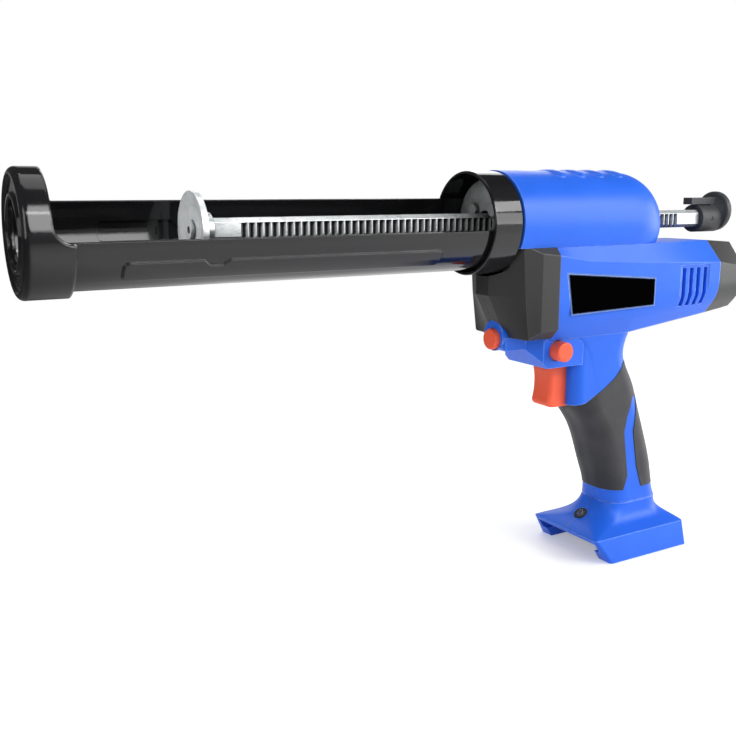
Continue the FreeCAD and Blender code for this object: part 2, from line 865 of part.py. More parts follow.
def flanks(module, teeth, tip, root, slack, phase):
    """Radius and angle of each corner round a gear with involute teeth, one of them at the phase angle."""
    pitch = module * teeth / 2
    pressure = math.radians(float(s.pressure_angle))
    base = pitch * math.cos(pressure)
    half_tooth = math.pi / (2 * teeth) - slack / (2 * pitch) + involute(pressure)
    low = max(root, base)
    radii = [low + (tip - low) * k / FLANK_STEPS for k in range(FLANK_STEPS + 1)]
    if root < base:
        radii.insert(0, root)
    for tooth in range(round(teeth)):
        middle = phase + 2 * math.pi * tooth / teeth
        rise = [(radius, half_tooth - involute(math.acos(min(1, base / radius)))) for radius in radii]
        for radius, half in rise:
            yield radius, middle - half
        for radius, half in reversed(rise):
            yield radius, middle + half


def closed_wire(corners, height=0.0):
    points = [FreeCAD.Vector(r * math.cos(a), r * math.sin(a), height) for r, a in corners]
    return Part.makePolygon(points + points[:1])


def spur_shape(module, teeth, width, phase, bore):
    module, teeth = float(module), teeth.number
    pitch = module * teeth / 2
    corners = flanks(module, teeth, pitch + module, pitch - ROOT_SHARE * module, half_slack, phase)
    blank = Part.Face(closed_wire(corners)).extrude(vector(0, 0, width))
    return blank.cut(Part.makeCylinder(float(bore), float(width)))


def bevel_shape(teeth, mate, phase, bore, hub_radius, hub_length):
    """A bevel gear whose teeth run towards the point where the two axes cross, at its own origin."""
    module = float(s.bevel_module)
    cone = math.atan2(teeth.number, mate.number)
    pitch = module * teeth.number / 2
    length = pitch / math.sin(cone)
    flat_pitch = length * math.tan(cone)
    root = flat_pitch - ROOT_SHARE * module
    corners = list(flanks(module, 2 * flat_pitch / module, flat_pitch + module, root, half_slack, 0))
    below_base = root < flat_pitch * math.cos(math.radians(float(s.pressure_angle)))
    tooth = corners[:2 * (FLANK_STEPS + (2 if below_base else 1))]

    def section(height):
        points = []
        for number in range(teeth.number):
            for radius, angle in tooth:
                slant = length / math.cos(cone) - radius * math.sin(cone)
                turn = phase + angle / math.cos(cone) + 2 * math.pi * number / teeth.number
                points.append((radius * math.cos(cone) * height / slant, turn))
        return closed_wire(points, height)

    big = length * math.cos(cone)
    blank = Part.makeLoft([section(big * bevel_small_share), section(big)], True, True)
    hub = Part.makeCylinder(float(hub_radius), float(hub_length), FreeCAD.Vector(0, 0, big))
    whole = blank.fuse(hub)
    return whole.cut(Part.makeCylinder(float(bore), big + float(hub_length)))


def shaped(name, shape, x, y, z, axis="Z"):
    made = doc.addObject("Part::Feature", name)
    made.Shape = shape
    return place(made, x, y, z, AXIS_TURNS[axis])


def make_drive():
    bore = s.drive_shaft_radius + s.seat_gap
    shaft = cylinder("drive_shaft_body", "Z", s.drive_shaft_radius, s.case_top - case_floor_low,
                     s.drive_front, drive_y, case_floor_low)
    node(shaft, "drive_shaft")
    pinion = spur_shape(s.rack_module, s.pinion_tooth_count, s.pinion_width, math.pi / 2, bore)
    pinion_low = s.rack_rise - s.slide_gap - s.pinion_width
    node(shaped("pinion", pinion, s.drive_front, drive_y, pinion_low), "rack_pinion")
    gear = spur_shape(s.spur_module, s.spur_gear_tooth_count, s.spur_width, lay_angle, bore)
    node(shaped("spur_gear", gear, s.drive_front, drive_y, spur_low), "drive_gear")


def make_lay_shaft():
    bore = s.lay_shaft_radius + s.seat_gap
    low = -s.motor_drop + bevel_pinion_pitch * bevel_small_share
    shaft = cylinder("lay_shaft_body", "Z", s.lay_shaft_radius, -s.case_middle_drop - low, lay_x, 0, low)
    node(shaft, "lay_shaft")
    facing = lay_angle + math.pi + math.pi / s.spur_pinion_tooth_count.number
    pinion = spur_shape(s.spur_module, s.spur_pinion_tooth_count, s.spur_width, facing, bore)
    node(shaped("spur_pinion", pinion, lay_x, 0, spur_low), "lay_pinion")
    hub = case_floor_low - s.slide_gap + s.motor_drop - bevel_pinion_pitch
    gear = bevel_shape(s.bevel_gear_tooth_count, s.bevel_pinion_tooth_count, 0, bore,
                       s.bevel_hub_radius, hub)
    node(shaped("bevel_gear_body", gear, lay_x, 0, -s.motor_drop), "bevel_gear")


def make_gearbox():
    facing = math.pi + math.pi / s.bevel_pinion_tooth_count.number
    bore = s.output_shaft_radius + s.seat_gap
    pinion = bevel_shape(s.bevel_pinion_tooth_count, s.bevel_gear_tooth_count, facing, bore,
                         s.bevel_hub_radius, s.bevel_pinion_hub)
    node(shaped("bevel_pinion_body", pinion, lay_x, 0, -s.motor_drop, "X"), "bevel_pinion")
    nose = lay_x + bevel_gear_pitch * bevel_small_share
    rim = carrier_distance + s.planet_pin_radius * 2
    pieces = [
        cylinder("carrier_shaft", "X", s.output_shaft_radius, carrier_rear - nose, nose, 0, -s.motor_drop),
        cylinder("carrier_disc", "X", rim, s.carrier_thickness, carrier_front, 0, -s.motor_drop),
    ]
    for i, angle in enumerate(PLANET_ANGLES):
        y = carrier_distance * math.sin(angle)
        z = -s.motor_drop - carrier_distance * math.cos(angle)
        pieces.append(cylinder(f"planet_pin_{i}", "X", s.planet_pin_radius,
                               s.carrier_thickness + s.planet_width, carrier_front + s.slide_gap, y, z))
        phase = angle + math.pi + math.pi / s.planet_tooth_count.number
        gear = spur_shape(s.planet_module, s.planet_tooth_count, s.planet_width, phase,
                          s.planet_pin_radius + s.running_gap)
        node(shaped(f"planet_{i}", gear, planet_front, y, z, "X"), f"planet_gear_{i + 1}")
    node(fuse("carrier", *pieces), "planet_carrier")
    sun = spur_shape(s.planet_module, s.sun_tooth_count, s.planet_width, 0,
                     s.motor_shaft_radius + s.seat_gap)
    node(shaped("sun", sun, planet_front, 0, -s.motor_drop, "X"), "sun_gear")
    module = float(s.planet_module)
    pitch = module * ring_tooth_count / 2
    spaces = flanks(module, ring_tooth_count, pitch + ROOT_SHARE * module, pitch - module, -half_slack,
                    math.pi / ring_tooth_count)
    length = motor_front - case_back
    ring = Part.makeCylinder(float(s.ring_radius), float(length))
    ring = ring.cut(Part.Face(closed_wire(spaces)).extrude(vector(0, 0, length)))
    node(shaped("ring", ring, case_back, 0, -s.motor_drop, "X"), "ring_gear")


def make_motor():
    can = cylinder("motor_body", "X", s.motor_radius, s.motor_length, motor_front, 0, -s.motor_drop)
    bore = cylinder("motor_bore", "X", s.motor_shaft_radius + s.running_gap,
                    s.motor_length + s.overrun * 2, motor_front - s.overrun, 0, -s.motor_drop)
    node(cut("motor", can, bore), "motor_can")
    shaft = cylinder("motor_shaft_body", "X", s.motor_shaft_radius, motor_rear - planet_front,
                     planet_front, 0, -s.motor_drop)
    node(shaft, "motor_shaft")
    cap = cylinder("motor_end_body", "X", s.motor_radius - s.motor_end_inset, s.motor_end_length,
                   motor_rear, 0, -s.motor_drop)
    node(cap, "motor_end_cap")


def shelf(name, low):
    """One shelf of the gear case, narrower behind the collar."""
    narrow = s.case_foot_half_width
    taper = s.case_half_width - narrow
    body = padded(name, "XY_Plane", [
        (case_front, -narrow),
        (case_front + taper, -s.case_half_width),
        (case_back, -s.case_half_width),
        (case_back, s.case_half_width),
        (case_front + taper, s.case_half_width),
        (case_front, narrow),
    ], s.case_wall)
    return place(body, z=low + s.case_wall / 2)


def bushes(label, axis, radius, places):
    """Plain bushes of one size, each as long as the wall that holds it."""
    made = []
    for i, (x, y, z) in enumerate(places):
        sleeve = cylinder(f"{label}_sleeve_{i}", axis, radius + s.bush_wall, s.case_wall, x, y, z)
        hole = cylinder(f"{label}_hole_{i}", axis, radius + s.running_gap, s.case_wall, x, y, z)
        made.append(cut(f"{label}_{i}", sleeve, hole))
    node(group(label + "_set", *made) if len(made) > 1 else made[0], label)


def make_case():
    full = s.case_wall + s.overrun * 2
    spigot = cylinder("case_spigot", "X", s.collar_bore_radius - s.running_gap,
                      case_front - plate_rear, plate_rear)
    disc = cylinder("case_disc", "X", s.case_disc_radius, s.case_wall, case_front)
    under = box("case_under", (case_front, case_front + s.case_wall),
                (-s.case_disc_radius, s.case_disc_radius), (-s.case_disc_radius, case_middle_low))
    face = cut("case_face", disc, under)
    foot = box("case_foot", (case_front, case_front + s.case_wall),
               (-s.case_foot_half_width, s.case_foot_half_width), (case_floor_low, -s.case_middle_drop))
    back = box("case_rear", (case_back_front, case_back), (-s.case_half_width, s.case_half_width),
               (-s.case_tail_drop, s.case_top))
    shelves = [shelf("case_upper", case_top_low), shelf("case_middle", case_middle_low),
               shelf("case_lower", case_floor_low)]
    whole = fuse("case_whole", spigot, face, foot, back, *shelves)
    drive_seat = s.drive_shaft_radius + s.bush_wall + s.seat_gap
    lay_seat = s.lay_shaft_radius + s.bush_wall + s.seat_gap
    output_seat = s.output_shaft_radius + s.bush_wall + s.seat_gap
    holes = [
        cylinder("case_rod_hole", "X", s.plate_hole_radius, case_back - plate_rear + s.overrun * 2,
                 plate_rear - s.overrun),
        cylinder("case_drive_top", "Z", drive_seat, full, s.drive_front, drive_y,
                 case_top_low - s.overrun),
        cylinder("case_drive_low", "Z", drive_seat, full, s.drive_front, drive_y,
                 case_floor_low - s.overrun),
        cylinder("case_drive_pass", "Z", s.drive_shaft_radius + s.slide_gap, full, s.drive_front, drive_y,
                 case_middle_low - s.overrun),
        cylinder("case_lay_top", "Z", lay_seat, full, lay_x, 0, case_middle_low - s.overrun),
        cylinder("case_lay_low", "Z", lay_seat, full, lay_x, 0, case_floor_low - s.overrun),
        cylinder("case_output", "X", output_seat, full, case_back_front - s.overrun, 0, -s.motor_drop),
    ]
    holes += plate_screw_holes("case_screw_hole", plate_rear - s.overrun, s.plate_screw_length + s.overrun)
    node(cut("case", whole, *holes), "gear_case")
    bushes("drive_bushes", "Z", s.drive_shaft_radius,
           [(s.drive_front, drive_y, case_top_low), (s.drive_front, drive_y, case_floor_low)])
    bushes("lay_bushes", "Z", s.lay_shaft_radius, [(lay_x, 0, case_middle_low), (lay_x, 0, case_floor_low)])
    bushes("output_bush", "X", s.output_shaft_radius, [(case_back_front, 0, -s.motor_drop)])


make_drive()
make_lay_shaft()
make_gearbox()
make_motor()
make_case()


# The housing.  Its shells are one hollow shape, split on the middle plane.
cover_front = collar_rear + s.cover_gap
cover_shoulder = cover_front + s.cover_straight_length
# Sections of the cover's domed end: along its length, radius, and how far the middle has dropped.
DOME_SHARES = ((0.0, 1.0, 0.0), (0.33, 0.962, 0.03), (0.62, 0.845, 0.16), (0.83, 0.655, 0.42),
               (0.95, 0.4, 0.75), (1.0, 0.18, 1.0))
handle_length = s.neck_drop - s.handle_top_drop
# Down the handle, along its lean, half depth and half width of each section, as shares of the handle's own.
HANDLE_SHARES = (
    (0.0, 0.098, 1.54, 1.11),
    (0.09, 0.03, 1.21, 1.05),
    (0.179, 0.09, 0.988, 1.01),
    (0.26, 0.152, 0.967, 1.0),
    (0.341, 0.257, 1.02, 1.0),
    (0.455, 0.37, 1.063, 1.0),
    (0.553, 0.525, 0.984, 0.99),
    (0.683, 0.696, 0.954, 0.972),
    (0.829, 0.843, 0.942, 0.961),
    (0.943, 0.934, 0.922, 0.961),
    (1.0, 0.966, 0.95, 1.011),
)
# Corners of the grip covers in the side view: along the handle's lean and down its length.
FRONT_GRIP_SHARES = (
    (1.08, 0.228), (0.529, 0.241), (0.319, 0.317), (0.049, 0.374), (-0.245, 0.423), (-0.76, 0.451),
    (-0.76, 0.919), (0.65, 0.93), (0.72, 0.854), (0.59, 0.61), (0.634, 0.528), (0.727, 0.428),
    (1.1, 0.407),
)
REAR_GRIP_SHARES = (
    (0.858, 0.427), (0.784, 0.612), (0.907, 0.813), (1.037, 0.927), (1.81, 0.919), (1.32, 0.423),
)
# Housing screws in the side view: along the body's length and down to the handle's foot.
SCREW_SHARES = ((0.07, 0.29), (0.47, 0.303), (0.91, 0.265), (0.91, 0.105), (0.51, 0.47), (0.545, 0.67),
                (0.6, 0.8))


def round_section(radius, drop):
    return [(radius, -drop, radius), (0, radius - drop, radius), (-radius, -drop, radius),
            (0, -radius - drop, radius)]


def dome(name, inset):
    """The cover's end, whose middle drops as it closes."""
    sections = []
    for along, radius, drop in DOME_SHARES:
        ring = round_section(s.cover_radius * radius - inset, s.dome_drop * drop)
        sections.append((ring, cover_shoulder + (s.cover_dome_length - inset) * along))
    return lofted(name, "YZ_Plane", sections, False)


def make_cover():
    inner = s.cover_radius - s.cover_wall
    straight = tube("cover_straight", cover_front, cover_shoulder, inner, s.cover_radius)
    end = cut("cover_end", dome("cover_dome", 0), dome("cover_dome_hollow", s.cover_wall))
    fall = s.cover_radius - root_of(s.cover_radius * s.cover_radius
                                    - s.cover_ridge_half_width * s.cover_ridge_half_width)
    ridges = []
    for i in range(s.cover_ridge_count.number):
        ridge = doc.addObject("Part::Ellipsoid", f"cover_ridge_{i}")
        bind(ridge, Radius1=fall + s.cover_ridge_height, Radius2=s.cover_ridge_length,
             Radius3=s.cover_ridge_half_width)
        ridges.append(place(ridge, cover_front + s.cover_ridge_start + s.cover_ridge_pitch * i, 0,
                            s.cover_radius - fall))
    core = cylinder("cover_core", "X", inner, s.cover_straight_length, cover_front)
    raised = cut("cover_ridges", fuse("cover_ridge_set", *ridges), core)
    under = box("cover_under", (cover_front - s.overrun, cover_shoulder + s.cover_dome_length + s.overrun),
                (-s.cap_radius * 2, s.cap_radius * 2), (-s.cap_radius * 2, -s.seam_drop))
    rod_hole = cylinder("cover_rod_hole", "X", s.plate_hole_radius, s.cover_dome_length + s.overrun,
                        cover_shoulder)
    node(cut("cover", fuse("cover_whole", straight, end, raised), under, rod_hole), "gear_cover")


def eased(flank, side, corner, low):
    """An arc that eases the edge where an upright flank meets the bevel below it, and the bevel's end."""
    inward, fall = flank - corner, side - low
    run = root_of(inward * inward + fall * fall)
    return [
        (flank, side + s.body_ease),
        (flank - inward * s.body_ease / run, side - fall * s.body_ease / run,
         -s.body_ease * inward / (run - fall)),
        (corner, low),
    ]


def body_section(top_half, shoulder, side, corner, floor, inset):
    return mirrored_section([
        (top_half - inset, -s.seam_drop - inset),
        (s.body_half_width - inset, -shoulder),
        *eased(s.body_half_width - inset, -side, s.body_corner_half_width - inset, inset - corner),
        (s.body_floor_half_width - inset, inset - floor),
    ])


def body_sections(inset, extra):
    top, rear_top = s.body_top_half_width, s.body_rear_top_half_width
    low = (s.body_side_drop, s.body_corner_drop, s.body_floor_drop)
    rear_low = (s.body_rear_side_drop, s.body_rear_corner_drop, s.body_rear_floor_drop)
    dome_shoulder = (s.body_middle_shoulder_drop + s.body_rear_shoulder_drop) / 2
    return [
        (body_section(top, s.body_front_shoulder_drop, *low, inset), s.body_front - extra),
        (body_section(top, s.body_middle_shoulder_drop, *low, inset), s.body_middle),
        (body_section(top, dome_shoulder, *low, inset), s.body_dome),
        (body_section(rear_top, s.body_rear_shoulder_drop, *rear_low, inset), s.body_rear + extra),
    ]


def handle_sections(inset):
    sections = []
    for down, lean, depth, width in HANDLE_SHARES:
        sections.append((rounded_rectangle(
            s.handle_x + s.handle_lean * lean,
            0,
            s.handle_half_depth * depth - inset,
            s.handle_half_width * width - inset,
            s.handle_corner_round - inset,
        ), -s.handle_top_drop - handle_length * down))
    return sections


def foot_sections():
    foot_x = (s.foot_front + s.foot_rear) / 2
    half = (s.foot_rear - s.foot_front) / 2
    flare = handle_sections(0)[-1:]
    flare.append((rounded_rectangle(s.flare_x, 0, s.flare_half_depth, s.flare_half_width,
                                    s.flare_corner_round), -s.flare_middle_drop))
    flare.append((rounded_rectangle(s.flare_foot_x, 0, s.flare_foot_half_depth, s.flare_foot_half_width,
                                    s.flare_foot_corner_round), -s.flare_foot_drop))
    top = (rounded_rectangle(foot_x, 0, half, s.foot_half_width, s.foot_corner_round), -s.foot_top_drop)
    bottom = (rounded_rectangle(foot_x + s.foot_rake / 2, 0, half - s.foot_rake / 2,
                                s.foot_half_width + s.foot_flare, s.foot_corner_round), -s.foot_bottom_drop)
    return flare + [top], [top, bottom]


def make_chin():
    """The block under the guard, from its side view and its plan."""
    back = s.trigger_rear + s.trigger_tail
    side = padded("chin_side", "XZ_Plane", [
        (s.chin_front, -s.guard_drop),
        (s.body_front, -s.guard_drop),
        (s.body_front, -s.body_side_drop),
        (back, -s.body_side_drop),
        (back, -s.chin_foot_drop),
        (s.chin_back, -s.chin_foot_drop),
        (s.chin_step, -s.chin_drop),
        (s.chin_front + s.chin_bevel, -s.chin_drop),
        (s.chin_front, s.chin_bevel - s.chin_drop),
    ], s.body_half_width * 2)
    plan = padded("chin_plan", "XY_Plane", mirrored_plan([
        (s.chin_front, s.chin_half_width - s.chin_bevel),
        (s.chin_front + s.chin_bevel, s.chin_half_width),
        (s.chin_step, s.chin_half_width),
        (s.body_front, s.chin_rear_half_width),
        (back, s.chin_rear_half_width),
    ]), s.neck_drop * 2)
    boss = cylinder("release_boss", "X", s.release_boss_radius, s.body_front - s.chin_front,
                    s.chin_front, 0, -s.release_boss_drop)
    return fuse("chin", common("chin_block", side, plan), boss)


def make_cheeks():
    """The shells' flanks beside the trigger, down to its lower end."""
    half = s.cheek_length / 2
    plan = padded("cheek_plan", "XY_Plane", rounded_rectangle(
        s.cheek_front + half, 0, half, s.cheek_half_width, s.cheek_round), s.trigger_bottom_drop * 2)
    height = box("cheek_height", (0, s.cheek_front + s.cheek_length - s.cheek_round),
                 (-s.body_half_width, s.body_half_width),
                 (-s.trigger_bottom_drop, -s.body_side_drop))
    under = side_outline("cheek_grip_side", FRONT_GRIP_SHARES, s.body_half_width * 2)
    return cut("cheeks", common("cheek_block", plan, height), under)


def mirrored_plan(half):
    """A full plan from the points of its left half, which run from front to back."""
    return list(half) + [(along, -across) for along, across in reversed(half)]


def side_outline(name, shares, length):
    """A prism across the handle from shares of its lean and its length."""
    points = [(s.handle_x + s.handle_lean * lean, -s.handle_top_drop - handle_length * down)
              for lean, down in shares]
    return padded(name, "XZ_Plane", points, length)


def halves(name, whole, left, right):
    """Splits a shape on the middle plane into two nodes."""
    reach = s.neck_drop * 3
    wide = s.foot_half_width * 2
    left_side = box(name + "_left_side", (0, reach), (-wide, 0), (-reach, reach))
    right_side = box(name + "_right_side", (0, reach), (0, wide), (-reach, reach))
    node(common(name + "_left", whole, left_side), left)
    node(common(name + "_right", whole, right_side), right)


def make_grips():
    outside = lofted("grip_outside", "XY_Plane", handle_sections(-s.grip_proud), False)
    inside = lofted("grip_inside", "XY_Plane", handle_sections(s.grip_thickness), False)
    skin = cut("grip_skin", outside, inside)
    wide = s.body_half_width * 2
    slot = trigger_slot("grip_trigger_slot")
    front_side = side_outline("grip_front_side", FRONT_GRIP_SHARES, wide)
    front = cut("grip_front", common("grip_front_whole", skin, front_side), slot, *screw_seats("grip_seat"))
    rear = common("grip_rear", skin, side_outline("grip_rear_side", REAR_GRIP_SHARES, wide))
    halves("front_grip", front, "left_grip", "right_grip")
    halves("rear_grip", rear, "left_rear_pad", "right_rear_pad")
    return front, rear


def trigger_slot(name):
    wide = s.trigger_half_width + s.slide_gap
    return box(name, (s.trigger_front - s.overrun, slot_rear), (-wide, wide),
               (-s.trigger_bottom_drop - s.slide_gap, s.slide_gap - s.trigger_top_drop))


slot_rear = s.trigger_rear + s.trigger_tail + s.trigger_travel + s.slide_gap
switch_rear = slot_rear + s.switch_length
switch_z = -(s.trigger_top_drop + s.trigger_bottom_drop) / 2


def screw_places():
    length = s.body_rear - s.body_front
    for along, down in SCREW_SHARES:
        yield s.body_front + length * along, -s.foot_bottom_drop * down


screw_seat = s.screw_head_radius * 2


def screw_seats(name):
    """The wells in the right side that the screws' heads sink into."""
    return [cylinder(f"{name}_{i}", "Y", s.screw_head_radius + s.seat_gap, s.body_half_width * 2,
                     x, screw_seat, z) for i, (x, z) in enumerate(screw_places())]


def make_shells(grips):
    chin = make_chin()
    body = lofted("body_outside", "YZ_Plane", body_sections(0, 0), True)
    handle = lofted("handle_outside", "XY_Plane", handle_sections(0), False)
    flare_points, skirt_points = foot_sections()
    flare = lofted("foot_flare", "XY_Plane", flare_points, False)
    skirt = lofted("foot_skirt", "XY_Plane", skirt_points, True)
    outside = fuse("shell_outside", body, handle, flare, skirt, chin, make_cheeks())

    wide = s.body_half_width * 2
    body_hollow = lofted("body_hollow", "YZ_Plane", body_sections(s.wall, s.overrun), True)
    ribs = [box(f"shell_rib_{i}", (x, x + s.case_wall), (-wide, wide), (-s.foot_top_drop, 0))
            for i, x in enumerate((case_back, motor_front + s.case_wall, motor_rear - s.case_wall * 2))]
    hollow_wall = s.wall + s.grip_thickness
    handle_hollow = lofted("handle_hollow", "XY_Plane", handle_sections(hollow_wall)[:-1], False)
    switch_ribs = []
    for name, side in (("left_switch_rib", (-wide, -s.switch_half_width)),
                       ("right_switch_rib", (s.switch_half_width, wide))):
        switch_ribs.append(box(
            name, (slot_rear + s.switch_length / 3, switch_rear - s.switch_length / 3), side,
            (switch_z - s.switch_height / 2, switch_z + s.switch_height / 2)))
    cavity = [
        cut("body_cavity", body_hollow, *ribs),
        cut("handle_cavity", handle_hollow, *switch_ribs),
        cylinder("ring_seat", "X", s.ring_radius + s.seat_gap, motor_front - case_back, case_back,
                 0, -s.motor_drop),
        cylinder("motor_seat", "X", s.motor_radius + s.seat_gap, s.motor_length, motor_front,
                 0, -s.motor_drop),
        box("cover_opening", (s.body_front - s.overrun, s.body_dome),
            (-s.case_half_width - s.slide_gap, s.case_half_width + s.slide_gap),
            (-s.body_middle_shoulder_drop, s.overrun - s.seam_drop)),
    ]
    slot_half = s.foot_half_width - s.wall
    slot_top = -s.foot_top_drop - s.foot_roof
    rail_top = s.rail_height - s.foot_bottom_drop
    slot_rear_x = s.foot_rear - s.foot_rear_wall
    slot_run = (s.foot_front - s.overrun, slot_rear_x)
    mouth_half = slot_half - s.rail_depth
    battery = [
        box("battery_slot", slot_run, (-slot_half, slot_half), (rail_top, slot_top)),
        box("battery_mouth", slot_run, (-mouth_half, mouth_half),
            (-s.foot_bottom_drop - s.overrun, rail_top)),
    ]
    release_bore = s.release_length + s.release_travel + s.slide_gap
    stem_bore = release_bore + s.release_stem_length
    controls = [
        trigger_slot("trigger_slot"),
        cylinder("direction_bore", "Y", s.direction_radius + s.slide_gap, wide * 2, s.direction_x, -wide,
                 -s.direction_drop),
        cylinder("release_bore", "X", s.release_radius + s.slide_gap, release_bore + s.overrun,
                 s.chin_front - s.overrun, 0, -s.release_drop),
        cylinder("release_stem_bore", "X", s.release_stem_radius + s.slide_gap, stem_bore,
                 s.chin_front, 0, -s.release_drop),
    ]
    label = label_prism("label_recess", s.label_thickness * 2, -s.body_half_width, 0)
    vents = []
    for i in range(s.vent_count.number):
        start = s.vent_front + s.vent_pitch * i
        vents.append(box(f"vent_{i}", (start, start + s.vent_width), (-wide, wide),
                         (-s.vent_bottom_drop, -s.vent_top_drop)))
    vent_end = s.vent_front + s.vent_pitch * (s.vent_count - 1) + s.vent_width + s.vent_frame
    for name, side in (("left_vent_field", (-wide, s.vent_frame_depth - s.body_half_width)),
                       ("right_vent_field", (s.body_half_width - s.vent_frame_depth, wide))):
        vents.append(box(name, (s.vent_front - s.vent_frame, vent_end), side,
                         (-s.vent_bottom_drop - s.vent_frame, s.vent_frame - s.vent_top_drop)))
    lamp = lamp_cylinder("lamp_bore", s.lamp_bezel_radius + s.seat_gap, s.lamp_bezel_depth * 2,
                         s.lamp_bezel_depth)
    neck_core = padded("neck_core", "XY_Plane", handle_sections(s.neck_groove_depth)[-1][0], s.neck_drop * 3)
    groove = cut("neck_groove", box("neck_slab", (s.foot_front, s.foot_rear), (-wide, wide),
                                    (-s.neck_drop, s.neck_groove_width - s.neck_drop)), neck_core)
    shell = cut("shell_hollow", outside, *cavity, *battery, *controls, label, lamp, groove, *vents)
    bosses = [cylinder(f"boss_{i}", "Y", s.boss_radius, wide, x, -wide / 2, z)
              for i, (x, z) in enumerate(screw_places())]
    screwed = fuse("shell_bossed", shell, common("shell_bosses", outside, fuse("boss_set", *bosses)))
    holes = screw_seats("shell_seat")
    screws = []
    tip = screw_seat - s.screw_length
    for i, (x, z) in enumerate(screw_places()):
        holes.append(cylinder(f"screw_hole_{i}", "Y", s.screw_radius + s.seat_gap,
                              s.screw_length + s.overrun, x, tip, z))
        shank = cylinder(f"screw_shank_{i}", "Y", s.screw_radius, s.screw_length, x, tip, z)
        head = cylinder(f"screw_head_{i}", "Y", s.screw_head_radius, s.screw_head_height, x, screw_seat, z)
        screws.append(fuse(f"screw_{i}", shank, head))
    halves("shell", cut("shell", screwed, *holes, *grips), "left_shell", "right_shell")
    node(group("screw_set", *screws), "housing_screws")


def lamp_cylinder(name, radius, length, sunk):
    """A cylinder on the lamp's tilted axis, from a depth below the foot's skin."""
    tilt = math.radians(float(s.lamp_tilt_angle))
    made = doc.addObject("Part::Cylinder", name)
    bind(made, Radius=radius, Height=length)
    turn = FreeCAD.Rotation(FreeCAD.Vector(0, -1, 0), float(s.lamp_tilt_angle))
    return place(made, s.lamp_x + sunk * math.sin(tilt), 0, -s.lamp_drop - sunk * math.cos(tilt), turn)


def label_prism(name, thickness, y, inset):
    """The label's slanted outline on the left side, in by a clearance."""
    body = padded(name, "XZ_Plane", [
        (s.label_front + inset, -s.label_top_drop - inset),
        (s.label_rear - inset, -s.label_top_drop - s.label_top_slant - inset),
        (s.label_rear - inset, s.label_bottom_slant - s.label_bottom_drop + inset),
        (s.label_front + s.label_front_slant + inset, -s.label_bottom_drop + inset),
    ], thickness)
    return place(body, y=y)


def make_label():
    middle = s.label_thickness / 2 - s.body_half_width
    node(label_prism("label", s.label_thickness, middle, s.seat_gap), "label_plate")


def guard_plan(front, knee, inset):
    """The guard from above at one height, drawn in by a wall."""
    return mirrored_plan([
        (front + inset, s.guard_nose_half_width - inset),
        (knee + inset, s.guard_knee_half_width - inset),
        (s.guard_side_front, s.guard_side_half_width - inset),
        (s.body_front + inset, s.guard_half_width - inset),
    ])


def guard_block(name, inset, top):
    """The guard's plan, which leans back at the foot, kept to the body's section with its bevels."""
    folded = lofted(name + "_plan", "XY_Plane", [
        (guard_plan(s.guard_front, s.guard_knee, inset), top + s.overrun),
        (guard_plan(s.guard_front, s.guard_bend_knee, inset), -s.guard_bend_drop),
        (guard_plan(s.guard_front + s.guard_lean, s.guard_foot_knee, inset), -s.guard_drop - s.overrun),
    ], True)
    section = prism_along_x(name + "_section", mirrored_section([
        (s.body_top_half_width - inset, top),
        (s.guard_half_width - inset, -s.body_front_shoulder_drop),
        (s.guard_half_width - inset, -s.guard_side_drop),
        (s.guard_corner_half_width - inset, inset - s.guard_drop),
    ]), s.guard_front - s.overrun, s.body_front + inset + s.overrun)
    return common(name, folded, section)


def make_guard():
    outside = guard_block("guard_outside", 0, -s.seam_drop)
    hollow = guard_block("guard_hollow", s.wall, s.overrun - s.seam_drop)
    start = s.guard_front - s.overrun
    collar = cylinder("guard_collar", "X", s.collar_radius + s.cover_gap, cover_front - start, start)
    boss = cylinder("guard_boss", "X", s.release_boss_radius + s.seat_gap, s.body_front - start, start,
                    0, -s.release_boss_drop)
    made = cut("guard", outside, hollow, collar, boss)
    halves("guard", made, "left_guard", "right_guard")


def tail_sections(inset, extra):
    end = s.body_rear + s.tail_length - inset

    def section(shrink):
        drop = (s.tail_top_drop - s.seam_drop) * (shrink / s.tail_shrink)
        return mirrored_section([
            (s.body_rear_top_half_width - shrink - inset, -s.seam_drop - drop - inset),
            (s.body_half_width - shrink - inset, -s.body_rear_shoulder_drop - shrink),
            *eased(s.body_half_width - shrink - inset, -s.body_rear_side_drop,
                   s.body_corner_half_width - shrink - inset, shrink / 2 + inset - s.body_rear_corner_drop),
            (s.body_floor_half_width - shrink - inset, shrink / 2 + inset - s.body_rear_floor_drop),
        ])

    return [
        (body_sections(inset, 0)[-1][0], s.body_rear - extra),
        (section(s.tail_shrink - s.tail_round), end - s.tail_round),
        (section(s.tail_shrink), end),
    ]


def make_rear_cap():
    outside = lofted("tail_outside", "YZ_Plane", tail_sections(0, 0), True)
    hollow = lofted("tail_hollow", "YZ_Plane", tail_sections(s.wall, s.overrun), True)
    node(cut("tail", outside, hollow), "rear_cap")


